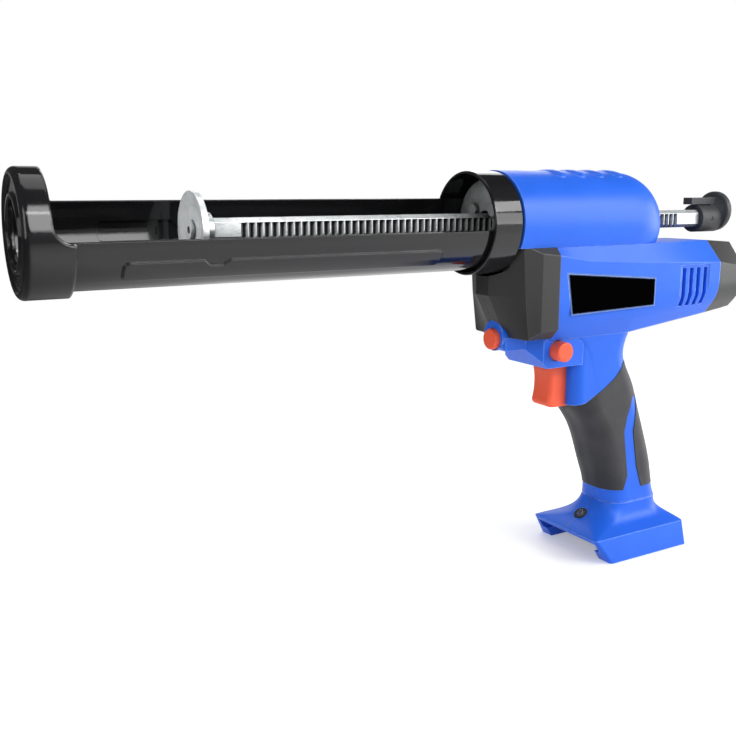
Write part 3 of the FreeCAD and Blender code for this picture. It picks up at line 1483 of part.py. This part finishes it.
def make_trigger():
    rear = s.trigger_rear + s.trigger_tail
    body = padded("trigger_body", "XZ_Plane", [
        (s.trigger_front, -s.trigger_top_drop, s.trigger_hollow_radius),
        (rear, -s.trigger_top_drop),
        (rear, -s.trigger_bottom_drop),
        (s.trigger_front + s.trigger_chamfer, -s.trigger_bottom_drop),
        (s.trigger_front, s.trigger_lip - s.trigger_bottom_drop),
    ], s.trigger_half_width * 2)
    rounded_edges(body, s.trigger_round, lambda edge: all(
        near(abs(v.Y), s.trigger_half_width) and v.X < float(s.trigger_rear - s.trigger_round)
        for v in edge.Vertexes))
    node(body, "trigger")
    node(cylinder("plunger", "X", s.plunger_radius, s.plunger_length, rear, 0, switch_z), "switch_plunger")
    block = box("switch_block", (slot_rear, switch_rear), (-s.switch_half_width, s.switch_half_width),
                (switch_z - s.switch_height / 2, switch_z + s.switch_height / 2))
    bore = cylinder("switch_bore", "X", s.plunger_radius + s.slide_gap,
                    s.plunger_length + s.trigger_travel + s.slide_gap, rear, 0, switch_z)
    node(cut("switch", block, bore), "trigger_switch")


def make_buttons():
    edge = s.direction_round
    right = s.direction_reach - s.direction_travel
    bolt = turned("direction_bolt", [
        (-s.direction_reach, 0),
        (-s.direction_reach, s.direction_radius - edge),
        (edge - s.direction_reach, s.direction_radius, -edge),
        (right - edge, s.direction_radius),
        (right, s.direction_radius - edge, -edge),
        (right, 0),
    ], role="YZ_Plane")
    node(place(bolt, s.direction_x, 0, -s.direction_drop), "direction_button")
    front = s.chin_front - s.release_reach
    back = s.chin_front + s.release_length
    end = back + s.release_stem_length
    edge = s.release_round
    button = turned("release_body", [
        (front, 0),
        (front, s.release_radius - edge),
        (front + edge, s.release_radius, -edge),
        (back, s.release_radius),
        (back, s.release_stem_radius),
        (end, s.release_stem_radius),
        (end, 0),
    ])
    node(place(button, 0, 0, -s.release_drop), "release_button")


def make_electrics():
    bezel = lamp_cylinder("lamp_bezel_whole", s.lamp_bezel_radius, s.lamp_bezel_depth, s.lamp_bezel_depth)
    hole = lamp_cylinder("lamp_bezel_hole", s.lamp_lens_radius + s.seat_gap, s.lamp_bezel_depth * 2,
                         s.lamp_bezel_depth)
    node(cut("lamp_ring", bezel, hole), "lamp_bezel")
    node(lamp_cylinder("lamp", s.lamp_lens_radius, s.lamp_bezel_depth, s.lamp_bezel_depth), "lamp_lens")
    roof = -s.foot_top_drop - s.foot_roof
    block = box("terminal", (s.terminal_front, s.terminal_front + s.terminal_length),
                (-s.terminal_half_width, s.terminal_half_width), (roof - s.terminal_height, roof))
    node(block, "terminal_block")
    blades = []
    for i in range(s.blade_count.number):
        middle = s.blade_pitch * (i - (s.blade_count.number - 1) / 2)
        blades.append(box(f"blade_{i}", (s.terminal_front - s.blade_length, s.terminal_front),
                          (middle - s.blade_thickness / 2, middle + s.blade_thickness / 2),
                          (roof - s.blade_height, roof - s.seat_gap)))
    node(group("blades", *blades), "contact_blades")
    start = motor_rear + s.motor_end_length
    node(box("board", (start, start + s.board_thickness), (-s.board_half_width, s.board_half_width),
             (-s.motor_drop - s.board_half_height, s.board_half_height - s.motor_drop)), "control_board")


make_cover()
make_shells(make_grips())
make_label()
make_guard()
make_rear_cap()
make_trigger()
make_buttons()
make_electrics()


doc.recompute()
for thing in doc.Objects:
    if "Invalid" in thing.State or "Error" in thing.State:
        raise RuntimeError(f"{thing.Name} could not be made: {thing.State}")
for thing in nodes:
    shape = thing.Shape
    if shape.isNull() or not shape.isValid() or not shape.Solids:
        raise RuntimeError(f"{thing.Label} has no sound shape")
os.makedirs("parts", exist_ok=True)
for thing in nodes:
    thing.Shape.exportStep(f"parts/{thing.Label}.step")
print(f"{len(nodes)} parts")
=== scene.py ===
import json
import math

import bmesh
import bpy
from mathutils import Matrix, Vector


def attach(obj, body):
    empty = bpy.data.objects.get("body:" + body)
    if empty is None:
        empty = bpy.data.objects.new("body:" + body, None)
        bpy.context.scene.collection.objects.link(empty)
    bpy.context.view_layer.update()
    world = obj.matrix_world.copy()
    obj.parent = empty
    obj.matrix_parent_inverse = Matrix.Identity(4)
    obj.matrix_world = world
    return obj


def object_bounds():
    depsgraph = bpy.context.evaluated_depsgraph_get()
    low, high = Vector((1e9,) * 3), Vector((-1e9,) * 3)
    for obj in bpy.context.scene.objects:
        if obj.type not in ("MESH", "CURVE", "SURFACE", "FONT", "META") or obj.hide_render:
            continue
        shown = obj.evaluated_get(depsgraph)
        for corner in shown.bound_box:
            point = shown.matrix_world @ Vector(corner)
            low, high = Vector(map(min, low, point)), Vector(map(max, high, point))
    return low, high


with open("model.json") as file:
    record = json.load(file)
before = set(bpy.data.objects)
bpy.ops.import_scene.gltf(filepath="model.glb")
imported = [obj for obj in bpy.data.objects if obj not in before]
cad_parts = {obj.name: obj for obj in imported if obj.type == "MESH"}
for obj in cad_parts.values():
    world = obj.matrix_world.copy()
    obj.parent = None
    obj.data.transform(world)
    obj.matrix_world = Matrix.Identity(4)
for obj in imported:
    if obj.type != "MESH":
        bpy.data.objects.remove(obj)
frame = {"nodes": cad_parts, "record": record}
cad_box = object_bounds()
nodes = frame["nodes"]
scene = bpy.context.scene
scene.view_settings.view_transform = "Standard"

MM = 0.001

SEAM_OUTSIDE, SEAM_INSIDE = 0.22 * MM, 0.08 * MM  # where the hairline starts and is full
FLAT = 0.999  # cosine up to which a rounded normal counts as unturned
LINE_STRETCH = 40  # length of a machining line over its width


def scaled(colour, factor):
    return tuple(min(1.0, factor * part) for part in colour)


class Nodes:
    """An empty node tree, and short calls for the nodes in it."""

    def __init__(self, owner):
        owner.use_nodes = True
        self.tree = owner.node_tree
        self.tree.nodes.clear()
        self.place = self.new("ShaderNodeTexCoord").outputs["Object"]

    def new(self, kind, **settings):
        node = self.tree.nodes.new(kind)
        for key, value in settings.items():
            setattr(node, key, value)
        return node

    def feed(self, socket, value):
        """Link a socket to another one, or set its number, vector or colour."""
        if isinstance(value, bpy.types.NodeSocket):
            self.tree.links.new(value, socket)
        else:
            socket.default_value = value

    def put(self, node, **values):
        for key, value in values.items():
            self.feed(node.inputs[key], value)

    def fill(self, node, *values):
        """Feed a node's first inputs in their order."""
        for socket, value in zip(node.inputs, values):
            self.feed(socket, value)
        return node

    def vector(self, operation, *values):
        return self.fill(self.new("ShaderNodeVectorMath", operation=operation), *values)

    def dot(self, first, second):
        return self.vector("DOT_PRODUCT", first, second).outputs["Value"]

    def axis(self, vector, letter):
        return self.fill(self.new("ShaderNodeSeparateXYZ"), vector).outputs[letter]

    def noise(self, size, detail=2.0, place=None):
        """Noise whose grains are about size metres across."""
        node = self.new("ShaderNodeTexNoise")
        self.put(node, Vector=place or self.place, Scale=1 / size, Detail=detail)
        return node.outputs["Fac"]

    def cells(self, size):
        """The distance to the middle of the nearest cell, in cells of about size metres."""
        node = self.new("ShaderNodeTexVoronoi")
        self.put(node, Vector=self.place, Scale=1 / size)
        return node.outputs["Distance"]

    def spread(self, value, low, high, to_low=0.0, to_high=1.0):
        """The value moved from the range low to high into another range, and held inside it."""
        node = self.new("ShaderNodeMapRange")
        return self.fill(node, value, low, high, to_low, to_high).outputs[0]

    def maths(self, operation, a, b=0.0, clamp=False):
        node = self.new("ShaderNodeMath", operation=operation, use_clamp=clamp)
        return self.fill(node, a, b).outputs[0]

    def times(self, a, b):
        return self.maths("MULTIPLY", a, b)

    def most(self, first, *others):
        for other in others:
            first = self.maths("MAXIMUM", first, other)
        return first

    def mixed(self, share, first, second):
        """A colour between two others."""
        node = self.new("ShaderNodeMix", data_type="RGBA")
        self.put(node, Factor=share)
        for socket, colour in zip(node.inputs[6:8], (first, second)):
            plain = not isinstance(colour, bpy.types.NodeSocket)
            self.feed(socket, (*colour, 1.0) if plain else colour)
        return node.outputs[2]

    def blended(self, share, first, second):
        """A number between two others."""
        node = self.new("ShaderNodeMix")
        self.put(node, Factor=share, A=first, B=second)
        return node.outputs["Result"]

    def edges(self, radius, full=0.86):
        """The normal that rounds sharp edges, and a mask that is 1 where its cosine is under full."""
        bevel = self.new("ShaderNodeBevel", samples=10)
        self.put(bevel, Radius=radius)
        plain = self.new("ShaderNodeNewGeometry").outputs["Normal"]
        return bevel.outputs[0], self.spread(self.dot(bevel.outputs[0], plain), FLAT, full)

    def open_air(self, reach):
        """1 on open faces, towards 0 in gaps narrower than the reach."""
        node = self.new("ShaderNodeAmbientOcclusion", samples=12)
        self.put(node, Distance=reach)
        return node.outputs["AO"]

    def bump(self, height, depth, normal):
        node = self.new("ShaderNodeBump")
        self.put(node, Height=height, Distance=depth, Strength=1.0, Normal=normal)
        return node.outputs[0]

    def seam(self):
        """A hairline on the middle plane, where the two halves of the housing meet."""
        aside = self.maths("ABSOLUTE", self.axis(self.place, "Y"))
        return self.spread(aside, SEAM_OUTSIDE, SEAM_INSIDE)


class Shader(Nodes):
    """A material with one Principled shader."""

    def __init__(self, name, metallic=0.0, ior=1.5, specular=0.5):
        self.material = bpy.data.materials.new(name)
        super().__init__(self.material)
        self.shader = self.new("ShaderNodeBsdfPrincipled")
        self.put(self.shader, **{"Metallic": metallic, "IOR": ior, "Specular IOR Level": specular})

    def finish(self, colour, roughness, normal):
        self.put(self.shader, **{"Base Color": colour, "Roughness": roughness, "Normal": normal})
        self.fill(self.new("ShaderNodeOutputMaterial"), self.shader.outputs["BSDF"])
        return self.material


def moulded(name, colour, worn, roughness, grain, depth, edge, seam=False):
    """Moulded plastic: spark-eroded grain, faint flow marks, edges polished by handling and paler,
    partly from wear and partly as a painted highlight.
    """
    s = Shader(name, specular=0.3)
    rounded, edged = s.edges(edge, full=0.96)
    flow = s.noise(26 * MM, 3.0)
    speckle = s.noise(1.4 * MM)
    worn_and_lit_edges = s.times(edged, s.spread(s.noise(4 * MM), 0.2, 0.6))
    base = s.mixed(s.spread(flow, 0.3, 0.7), scaled(colour, 0.9), colour)
    # paler edges: partly handling wear, partly a painted highlight along the edges
    base = s.mixed(s.times(worn_and_lit_edges, 0.65), base, worn)
    gloss = s.spread(s.maths("ADD", flow, speckle), 0.6, 1.4, roughness - 0.07, roughness + 0.07)
    gloss = s.maths("SUBTRACT", gloss, s.times(worn_and_lit_edges, 0.12), clamp=True)
    normal = s.bump(s.noise(grain, 1.0), depth, rounded)
    if seam:
        line = s.seam()
        base = s.mixed(line, base, scaled(colour, 0.25))
        normal = s.bump(s.maths("SUBTRACT", 1.0, line), 0.15 * MM, normal)
    return s.finish(base, gloss, normal)


def painted(name, colour, roughness, edge):
    """Gloss paint on sheet metal: a slight orange peel, dust in the film, thin rubbed edges."""
    s = Shader(name)
    rounded, edged = s.edges(edge)
    rubbed = s.times(edged, s.spread(s.noise(2.5 * MM, 4.0), 0.5, 0.72))
    base = s.mixed(s.times(rubbed, 0.05), colour, (0.16, 0.16, 0.165))
    dust = s.spread(s.cells(2.2 * MM), 0.07, 0.02)
    patches = s.noise(18 * MM, 4.0)
    gloss = s.spread(patches, 0.3, 0.75, roughness - 0.04, roughness + 0.06)
    gloss = s.maths("ADD", gloss, s.times(dust, 0.12), clamp=True)
    peel = s.bump(s.noise(1.6 * MM, 1.0), 0.012 * MM, rounded)
    return s.finish(base, gloss, peel)


def plated(name, pale, dull, roughness, along, fine=0.12 * MM, metallic=1.0):
    """Plated or machined metal: fine lines along one axis, a cloudy bloom, painted shade in recesses and
    gaps.
    """
    s = Shader(name, metallic=metallic)
    rounded, edged = s.edges(0.35 * MM)
    cloud = s.noise(9 * MM)
    stretch = tuple(1 / LINE_STRETCH if axis == along else 1.0 for axis in "XYZ")
    lines = s.noise(fine, place=s.vector("MULTIPLY", s.place, stretch).outputs[0])
    base = s.mixed(s.spread(cloud, 0.32, 0.68), dull, pale)
    base = s.mixed(s.times(edged, 0.6), base, scaled(pale, 1.12))
    # painted shade: darker deep in recesses, and darker still in narrow gaps, where little light reaches
    base = s.mixed(s.spread(s.open_air(24 * MM), 0.7, 0.35), base, scaled(dull, 0.3))
    base = s.mixed(s.spread(s.open_air(2.6 * MM), 0.85, 0.5), base, scaled(dull, 0.1))
    gloss = s.spread(s.maths("ADD", lines, cloud), 0.6, 1.4, roughness - 0.08, roughness + 0.1)
    return s.finish(base, gloss, s.bump(lines, 0.006 * MM, rounded))


def soft_touch(name, colour, worn):
    """Soft rubbery skin: fine pebble, dull, paler where a hand rubs it, painted shade along its border.
    """
    s = Shader(name, specular=0.35)
    s.put(s.shader, **{"Sheen Weight": 0.12, "Sheen Roughness": 0.4})
    rounded, edged = s.edges(0.5 * MM)
    rub = s.noise(16 * MM, 4.0)
    base = s.mixed(s.spread(rub, 0.35, 0.75), colour, worn)
    # painted shade: a dark line along the border, in place of the shade in the gap to the next part
    base = s.mixed(edged, base, scaled(colour, 0.2))
    gloss = s.spread(rub, 0.3, 0.75, 0.62, 0.5)
    pebble = s.times(s.cells(0.55 * MM), s.spread(s.noise(3 * MM), 0.2, 0.8, 0.6, 1.0))
    return s.finish(base, gloss, s.bump(pebble, 0.04 * MM, rounded))


def plate_with_border(name, colour, border):
    """Bare label plate: dull ink with a faint screen grain, and a pale line along its border, a painted
    highlight of the recess edge.
    """
    s = Shader(name, specular=0.0)
    rounded, edged = s.edges(1.7 * MM)
    grain = s.noise(0.3 * MM)
    base = s.mixed(s.spread(grain, 0.3, 0.7), colour, scaled(colour, 1.3))
    # painted highlight: the pale line along the border, where the edge of the recess would catch light
    base = s.mixed(edged, base, border)
    gloss = s.spread(grain, 0.3, 0.7, 0.55, 0.65)
    return s.finish(base, gloss, s.bump(grain, 0.004 * MM, rounded))


def clear(name, colour):
    """Moulded clear lens with a faintly rippled face."""
    s = Shader(name, ior=1.49)
    s.put(s.shader, **{"Transmission Weight": 0.92})
    rounded = s.edges(0.25 * MM)[0]
    ripple = s.noise(1.1 * MM)
    base = s.mixed(s.spread(s.noise(3 * MM), 0.3, 0.7), colour, scaled(colour, 0.93))
    gloss = s.spread(ripple, 0.3, 0.7, 0.04, 0.12)
    return s.finish(base, gloss, s.bump(ripple, 0.02 * MM, rounded))


def board(name, lacquer, track):
    """Lacquered circuit board: copper tracks showing through as a paler green."""
    s = Shader(name)
    rounded = s.edges(0.2 * MM)[0]
    bricks = s.new("ShaderNodeTexBrick", offset=0.5)
    s.put(bricks, **{"Vector": s.place, "Scale": 1 / (9 * MM), "Mortar Size": 0.03})
    tracks = bricks.outputs["Fac"]
    base = s.mixed(tracks, lacquer, track)
    gloss = s.spread(s.noise(2 * MM, 3.0), 0.3, 0.7, 0.2, 0.34)
    return s.finish(base, gloss, s.bump(tracks, 0.03 * MM, rounded))


BLACK_PAINT = dict(colour=(0.009, 0.009, 0.010), roughness=0.08)
CAP_EDGE = 1.9 * MM  # the cap is rounder than the sheet metal behind it
FINISHES = {
    "black_paint": (painted, dict(BLACK_PAINT, edge=0.4 * MM)),
    "zinc_plate": (plated, dict(
        pale=(0.70, 0.73, 0.735), dull=(0.60, 0.63, 0.635), roughness=0.28, along="X",
        metallic=0.5)),
    "black_plastic": (moulded, dict(
        colour=(0.045, 0.046, 0.050), worn=(0.13, 0.13, 0.135), roughness=0.5,
        grain=0.30 * MM, depth=0.02 * MM, edge=0.6 * MM)),
    "gear_steel": (plated, dict(
        pale=(0.56, 0.56, 0.56), dull=(0.42, 0.42, 0.42), roughness=0.32, along="Z")),
    "motor_steel": (plated, dict(
        pale=(0.50, 0.51, 0.53), dull=(0.40, 0.41, 0.42), roughness=0.38, along="X")),
    "case_alloy": (plated, dict(
        pale=(0.66, 0.67, 0.68), dull=(0.52, 0.53, 0.54), roughness=0.5, along="Y",
        fine=0.5 * MM)),
    "bearing_bronze": (plated, dict(
        pale=(0.70, 0.47, 0.24), dull=(0.52, 0.33, 0.16), roughness=0.42, along="Z")),
    "blue_plastic": (moulded, dict(
        colour=(0.016, 0.138, 0.80), worn=(0.24, 0.42, 0.98), roughness=0.38,
        grain=0.26 * MM, depth=0.014 * MM, edge=0.8 * MM, seam=True)),
    "grey_soft": (soft_touch, dict(colour=(0.028, 0.028, 0.030), worn=(0.038, 0.038, 0.042))),
    "grey_plastic": (moulded, dict(
        colour=(0.032, 0.032, 0.033), worn=(0.11, 0.11, 0.115), roughness=0.42,
        grain=0.30 * MM, depth=0.02 * MM, edge=0.7 * MM, seam=True)),
    "orange_plastic": (moulded, dict(
        colour=(0.96, 0.125, 0.055), worn=(1.0, 0.34, 0.18), roughness=0.38,
        grain=0.26 * MM, depth=0.012 * MM, edge=0.5 * MM)),
    # the border colour is a painted highlight along the label's edge
    "label_black": (plate_with_border, dict(
        colour=(0.0008, 0.0008, 0.001), border=(0.34, 0.50, 0.98))),
    "lamp_ring": (moulded, dict(
        colour=(0.020, 0.020, 0.021), worn=(0.09, 0.09, 0.09), roughness=0.45,
        grain=0.28 * MM, depth=0.015 * MM, edge=0.3 * MM)),
    "lamp_clear": (clear, dict(colour=(0.90, 0.92, 0.95))),
    "board_green": (board, dict(lacquer=(0.012, 0.14, 0.05), track=(0.05, 0.28, 0.1))),
}
materials = {slot: make(slot, **values) for slot, (make, values) in FINISHES.items()}
for row in frame["record"]["subparts"]:
    mesh = nodes[row["node"]].data
    mesh.materials.clear()
    mesh.materials.append(materials[row["material_slot"]])
nodes["front_cap"].data.materials[0] = painted("black_paint_rounded", **BLACK_PAINT, edge=CAP_EDGE)

SCREEN_ENDS = (385.8 * MM, 410.2 * MM)
SCREEN_THICKNESS = 0.6 * MM
SCREEN_ROWS = [  # height, then the distance from the middle plane at the front and rear end
    (-26.5 * MM, 26.6 * MM, 26.6 * MM),
    (-44.0 * MM, 26.4 * MM, 26.15 * MM),
    (-50.0 * MM, 24.9 * MM, 23.95 * MM),
    (-55.0 * MM, 22.1 * MM, 20.4 * MM),
]


def vent_screen(name, side):
    """A thin plate inside the housing that follows its wall, close behind the vents of one side."""
    mesh = bpy.data.meshes.new(name)
    shape = bmesh.new()
    rims = []
    for inset in (0.0, SCREEN_THICKNESS):
        layer = [[shape.verts.new((x, side * (distance - inset), z))
                  for x, distance in zip(SCREEN_ENDS, distances)]
                 for z, *distances in SCREEN_ROWS]
        for (a, b), (c, d) in zip(layer, layer[1:]):
            shape.faces.new((a, b, d, c))
        rims.append([row[0] for row in layer] + [row[1] for row in reversed(layer)])
    outer, inner = rims
    for k, corner in enumerate(outer):
        shape.faces.new((outer[k - 1], corner, inner[k], inner[k - 1]))
    bmesh.ops.recalc_face_normals(shape, faces=shape.faces)
    shape.to_mesh(mesh)
    shape.free()
    mesh.materials.append(materials["blue_plastic"])
    piece = bpy.data.objects.new(name, mesh)
    scene.collection.objects.link(piece)
    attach(piece, "housing")


vent_screen("left_vent_screen", -1)
vent_screen("right_vent_screen", 1)

CAMERA_PLACE = Vector((-60.73, -415.28, 17.20)) * MM
CAMERA_YAW = math.radians(29.822)  # from +Y towards +X
CAMERA_PITCH = math.radians(11.083)  # down
CAMERA_ROLL = math.radians(-0.173)
CAMERA_LENS, CAMERA_SENSOR = 43.766, 36.0
CAMERA_NEAREST = 0.01


def add_camera():
    """The camera at the photograph's viewing angle."""
    forward = math.cos(CAMERA_PITCH)
    ahead = Vector((math.sin(CAMERA_YAW) * forward, math.cos(CAMERA_YAW) * forward,
                    -math.sin(CAMERA_PITCH)))
    level = Vector((math.cos(CAMERA_YAW), -math.sin(CAMERA_YAW), 0.0))
    right = level * math.cos(CAMERA_ROLL) + level.cross(ahead) * math.sin(CAMERA_ROLL)
    turn = Matrix((right, right.cross(ahead), -ahead)).transposed().to_4x4()
    camera = bpy.data.objects.new("camera", bpy.data.cameras.new("camera"))
    camera.matrix_world = Matrix.Translation(CAMERA_PLACE) @ turn
    camera.data.sensor_width = CAMERA_SENSOR
    camera.data.lens = CAMERA_LENS
    camera.data.clip_start = CAMERA_NEAREST
    scene.collection.objects.link(camera)
    scene.camera = camera


add_camera()

MIDDLE = (0.24, 0.0, -0.06)  # what the soft boxes point at
SOFT_BOXES = [  # name, place, width and height, radiance of the face
    ("key", (1.05, -0.85, 0.64), (0.7, 0.38), 7.0),
    ("side", (1.3, -1.05, 0.22), (0.8, 0.5), 4.4),
    ("right", (1.4, -0.25, 0.1), (0.5, 0.6), 4.0),
    ("left", (-1.0, -0.5, 0.3), (0.45, 0.8), 3.6),
    ("strip", (0.2, -1.2, 0.9), (1.5, 0.1), 8.0),
    ("top", (0.35, 0.2, 1.3), (1.2, 0.8), 1.5),
    ("back", (0.9, 1.0, 0.5), (0.8, 0.6), 2.0),
]
SPOT_PLACE = (-0.33, -0.22, 0.24)
SPOT_TARGET = (0.08, 0.0, 0.008)  # the front of the pusher
SPOT_WIDTH = math.radians(9)
SPOT_POWER = 15.0
SPOT_RADIUS = 0.03
SPOT_BLEND = 0.6


def aimed(light, place, target):
    lamp = bpy.data.objects.new(light.name, light)
    lamp.location = place
    lamp.rotation_euler = (Vector(target) - Vector(place)).to_track_quat("-Z", "Y").to_euler()
    scene.collection.objects.link(lamp)
    return lamp


def soft_box(name, place, size, radiance):
    """A rectangular lamp; its power follows from its size and the radiance of its face."""
    light = bpy.data.lights.new(name, "AREA")
    light.shape = "RECTANGLE"
    light.size, light.size_y = size
    light.energy = radiance * math.pi * size[0] * size[1]
    aimed(light, place, MIDDLE)


def pusher_spot():
    """A snooted lamp on the pusher alone, kept out of reflections."""
    light = bpy.data.lights.new("pusher", "SPOT")
    light.spot_size = SPOT_WIDTH
    light.spot_blend = SPOT_BLEND
    light.shadow_soft_size = SPOT_RADIUS
    light.energy = SPOT_POWER
    aimed(light, SPOT_PLACE, SPOT_TARGET).visible_glossy = False


for box in SOFT_BOXES:
    soft_box(*box)
pusher_spot()

WHITE, BLACK = (1.0, 1.0, 1.0), (0.0, 0.0, 0.0)
FILL = 0.38  # the world's light on dull surfaces
# What gloss sees of the room: directions, the cosines between which each patch fades in, and levels.
BRIGHT_SIDE, BRIGHT_SIDE_FADE = (0.9, -0.43, 0.0), (0.5, 0.8)
BACK_WALL, BACK_WALL_FADE = (0.50, 0.86, 0.0), (0.8, 0.95)
WINDOW, WINDOW_FADE = (0.246, -0.857, 0.454), (0.91, 0.945)
OVERHEAD_FADE = (0.0, 0.15)
DARK_SIDE_SHEEN = 0.22
OVERHEAD_SHEEN = 0.2
WINDOW_SHEEN = 7.0
FLOOR_SHEEN = 1.25

FLOOR_MIDDLE = (0.25, 0.0)
FLOOR_RADIUS = 9.0
FLOOR_CORNERS = 96
FLOOR_GAP = 0.2 * MM
FLOOR_TONES = (0.90, 0.90, 0.90), (0.93, 0.93, 0.93)
FLOOR_MARKS = 0.12
FLOOR_LIFT = 0.30  # the floor's own light, which keeps its shadow soft
FLOOR_FADE = (0.35, 0.9)  # distances between which it runs out to white
CARD_WAY, CARD_FADE = (1.0, -0.35, 0.0), (-0.30, -0.12)  # a dark card under the cap, for gloss alone
CARD_SHEEN = 0.15


def bright_side(s, direction):
    """From the room's dark side to its white one, for what gloss and glass see."""
    return s.spread(s.dot(direction, BRIGHT_SIDE), *BRIGHT_SIDE_FADE, DARK_SIDE_SHEEN, 1.0)


def surroundings():
    """White to the camera.  To gloss and glass, a dark room with a white floor, back wall and window."""
    world = bpy.data.worlds.new("studio")
    scene.world = world
    s = Nodes(world)
    direction = s.new("ShaderNodeTexCoord").outputs["Generated"]
    overhead = s.spread(s.axis(direction, "Z"), *OVERHEAD_FADE, 1.0, OVERHEAD_SHEEN)
    room = s.most(
        s.times(overhead, bright_side(s, direction)),
        s.spread(s.dot(direction, BACK_WALL), *BACK_WALL_FADE),
        s.spread(s.dot(direction, WINDOW), *WINDOW_FADE, 0.0, WINDOW_SHEEN))
    rays = s.new("ShaderNodeLightPath").outputs
    level = s.blended(s.most(rays["Is Glossy Ray"], rays["Is Transmission Ray"]), FILL, room)
    level = s.blended(rays["Is Camera Ray"], level, 1.0)
    backdrop = s.new("ShaderNodeBackground")
    s.put(backdrop, Color=(*WHITE, 1.0), Strength=level)
    s.fill(s.new("ShaderNodeOutputWorld"), backdrop.outputs[0])


def floor_finish():
    """Pale where it lights the object.  To camera and gloss, with its shadow, and white further out."""
    material = bpy.data.materials.new("pale_floor")
    s = Nodes(material)
    rays = s.new("ShaderNodeLightPath").outputs
    card = s.spread(s.dot(s.place, CARD_WAY), *CARD_FADE, CARD_SHEEN, 1.0)
    card = s.blended(rays["Is Glossy Ray"], 1.0, card)
    marks = s.mixed(s.spread(s.noise(FLOOR_MARKS, 4.0), 0.3, 0.7), *FLOOR_TONES)
    pale = s.new("ShaderNodeBsdfDiffuse")
    s.put(pale, Color=s.mixed(card, BLACK, marks))
    lift = s.new("ShaderNodeEmission")
    s.put(lift, Strength=s.times(card, FLOOR_LIFT))
    near = s.fill(s.new("ShaderNodeAddShader"), pale.outputs[0], lift.outputs[0])
    outward = s.vector("NORMALIZE", s.place).outputs[0]
    sheen = s.times(s.times(bright_side(s, outward), FLOOR_SHEEN), card)
    white = s.new("ShaderNodeEmission")
    s.put(white, Strength=s.blended(rays["Is Camera Ray"], sheen, 1.0))
    far = s.spread(s.vector("LENGTH", s.place).outputs["Value"], *FLOOR_FADE)
    shown = s.fill(s.new("ShaderNodeMixShader"), far, near.outputs[0], white.outputs[0])
    sight = s.most(rays["Is Camera Ray"], rays["Is Glossy Ray"], rays["Is Transmission Ray"])
    whole = s.fill(s.new("ShaderNodeMixShader"), sight, pale.outputs[0], shown.outputs[0])
    s.fill(s.new("ShaderNodeOutputMaterial"), whole.outputs[0])
    return material


def floor_under(height):
    bpy.ops.mesh.primitive_circle_add(vertices=FLOOR_CORNERS, radius=FLOOR_RADIUS, fill_type="NGON",
                                      location=(*FLOOR_MIDDLE, height))
    floor = bpy.context.object
    floor.name = "floor"
    floor.data.materials.append(floor_finish())


surroundings()
floor_under(cad_box[0].z - FLOOR_GAP)
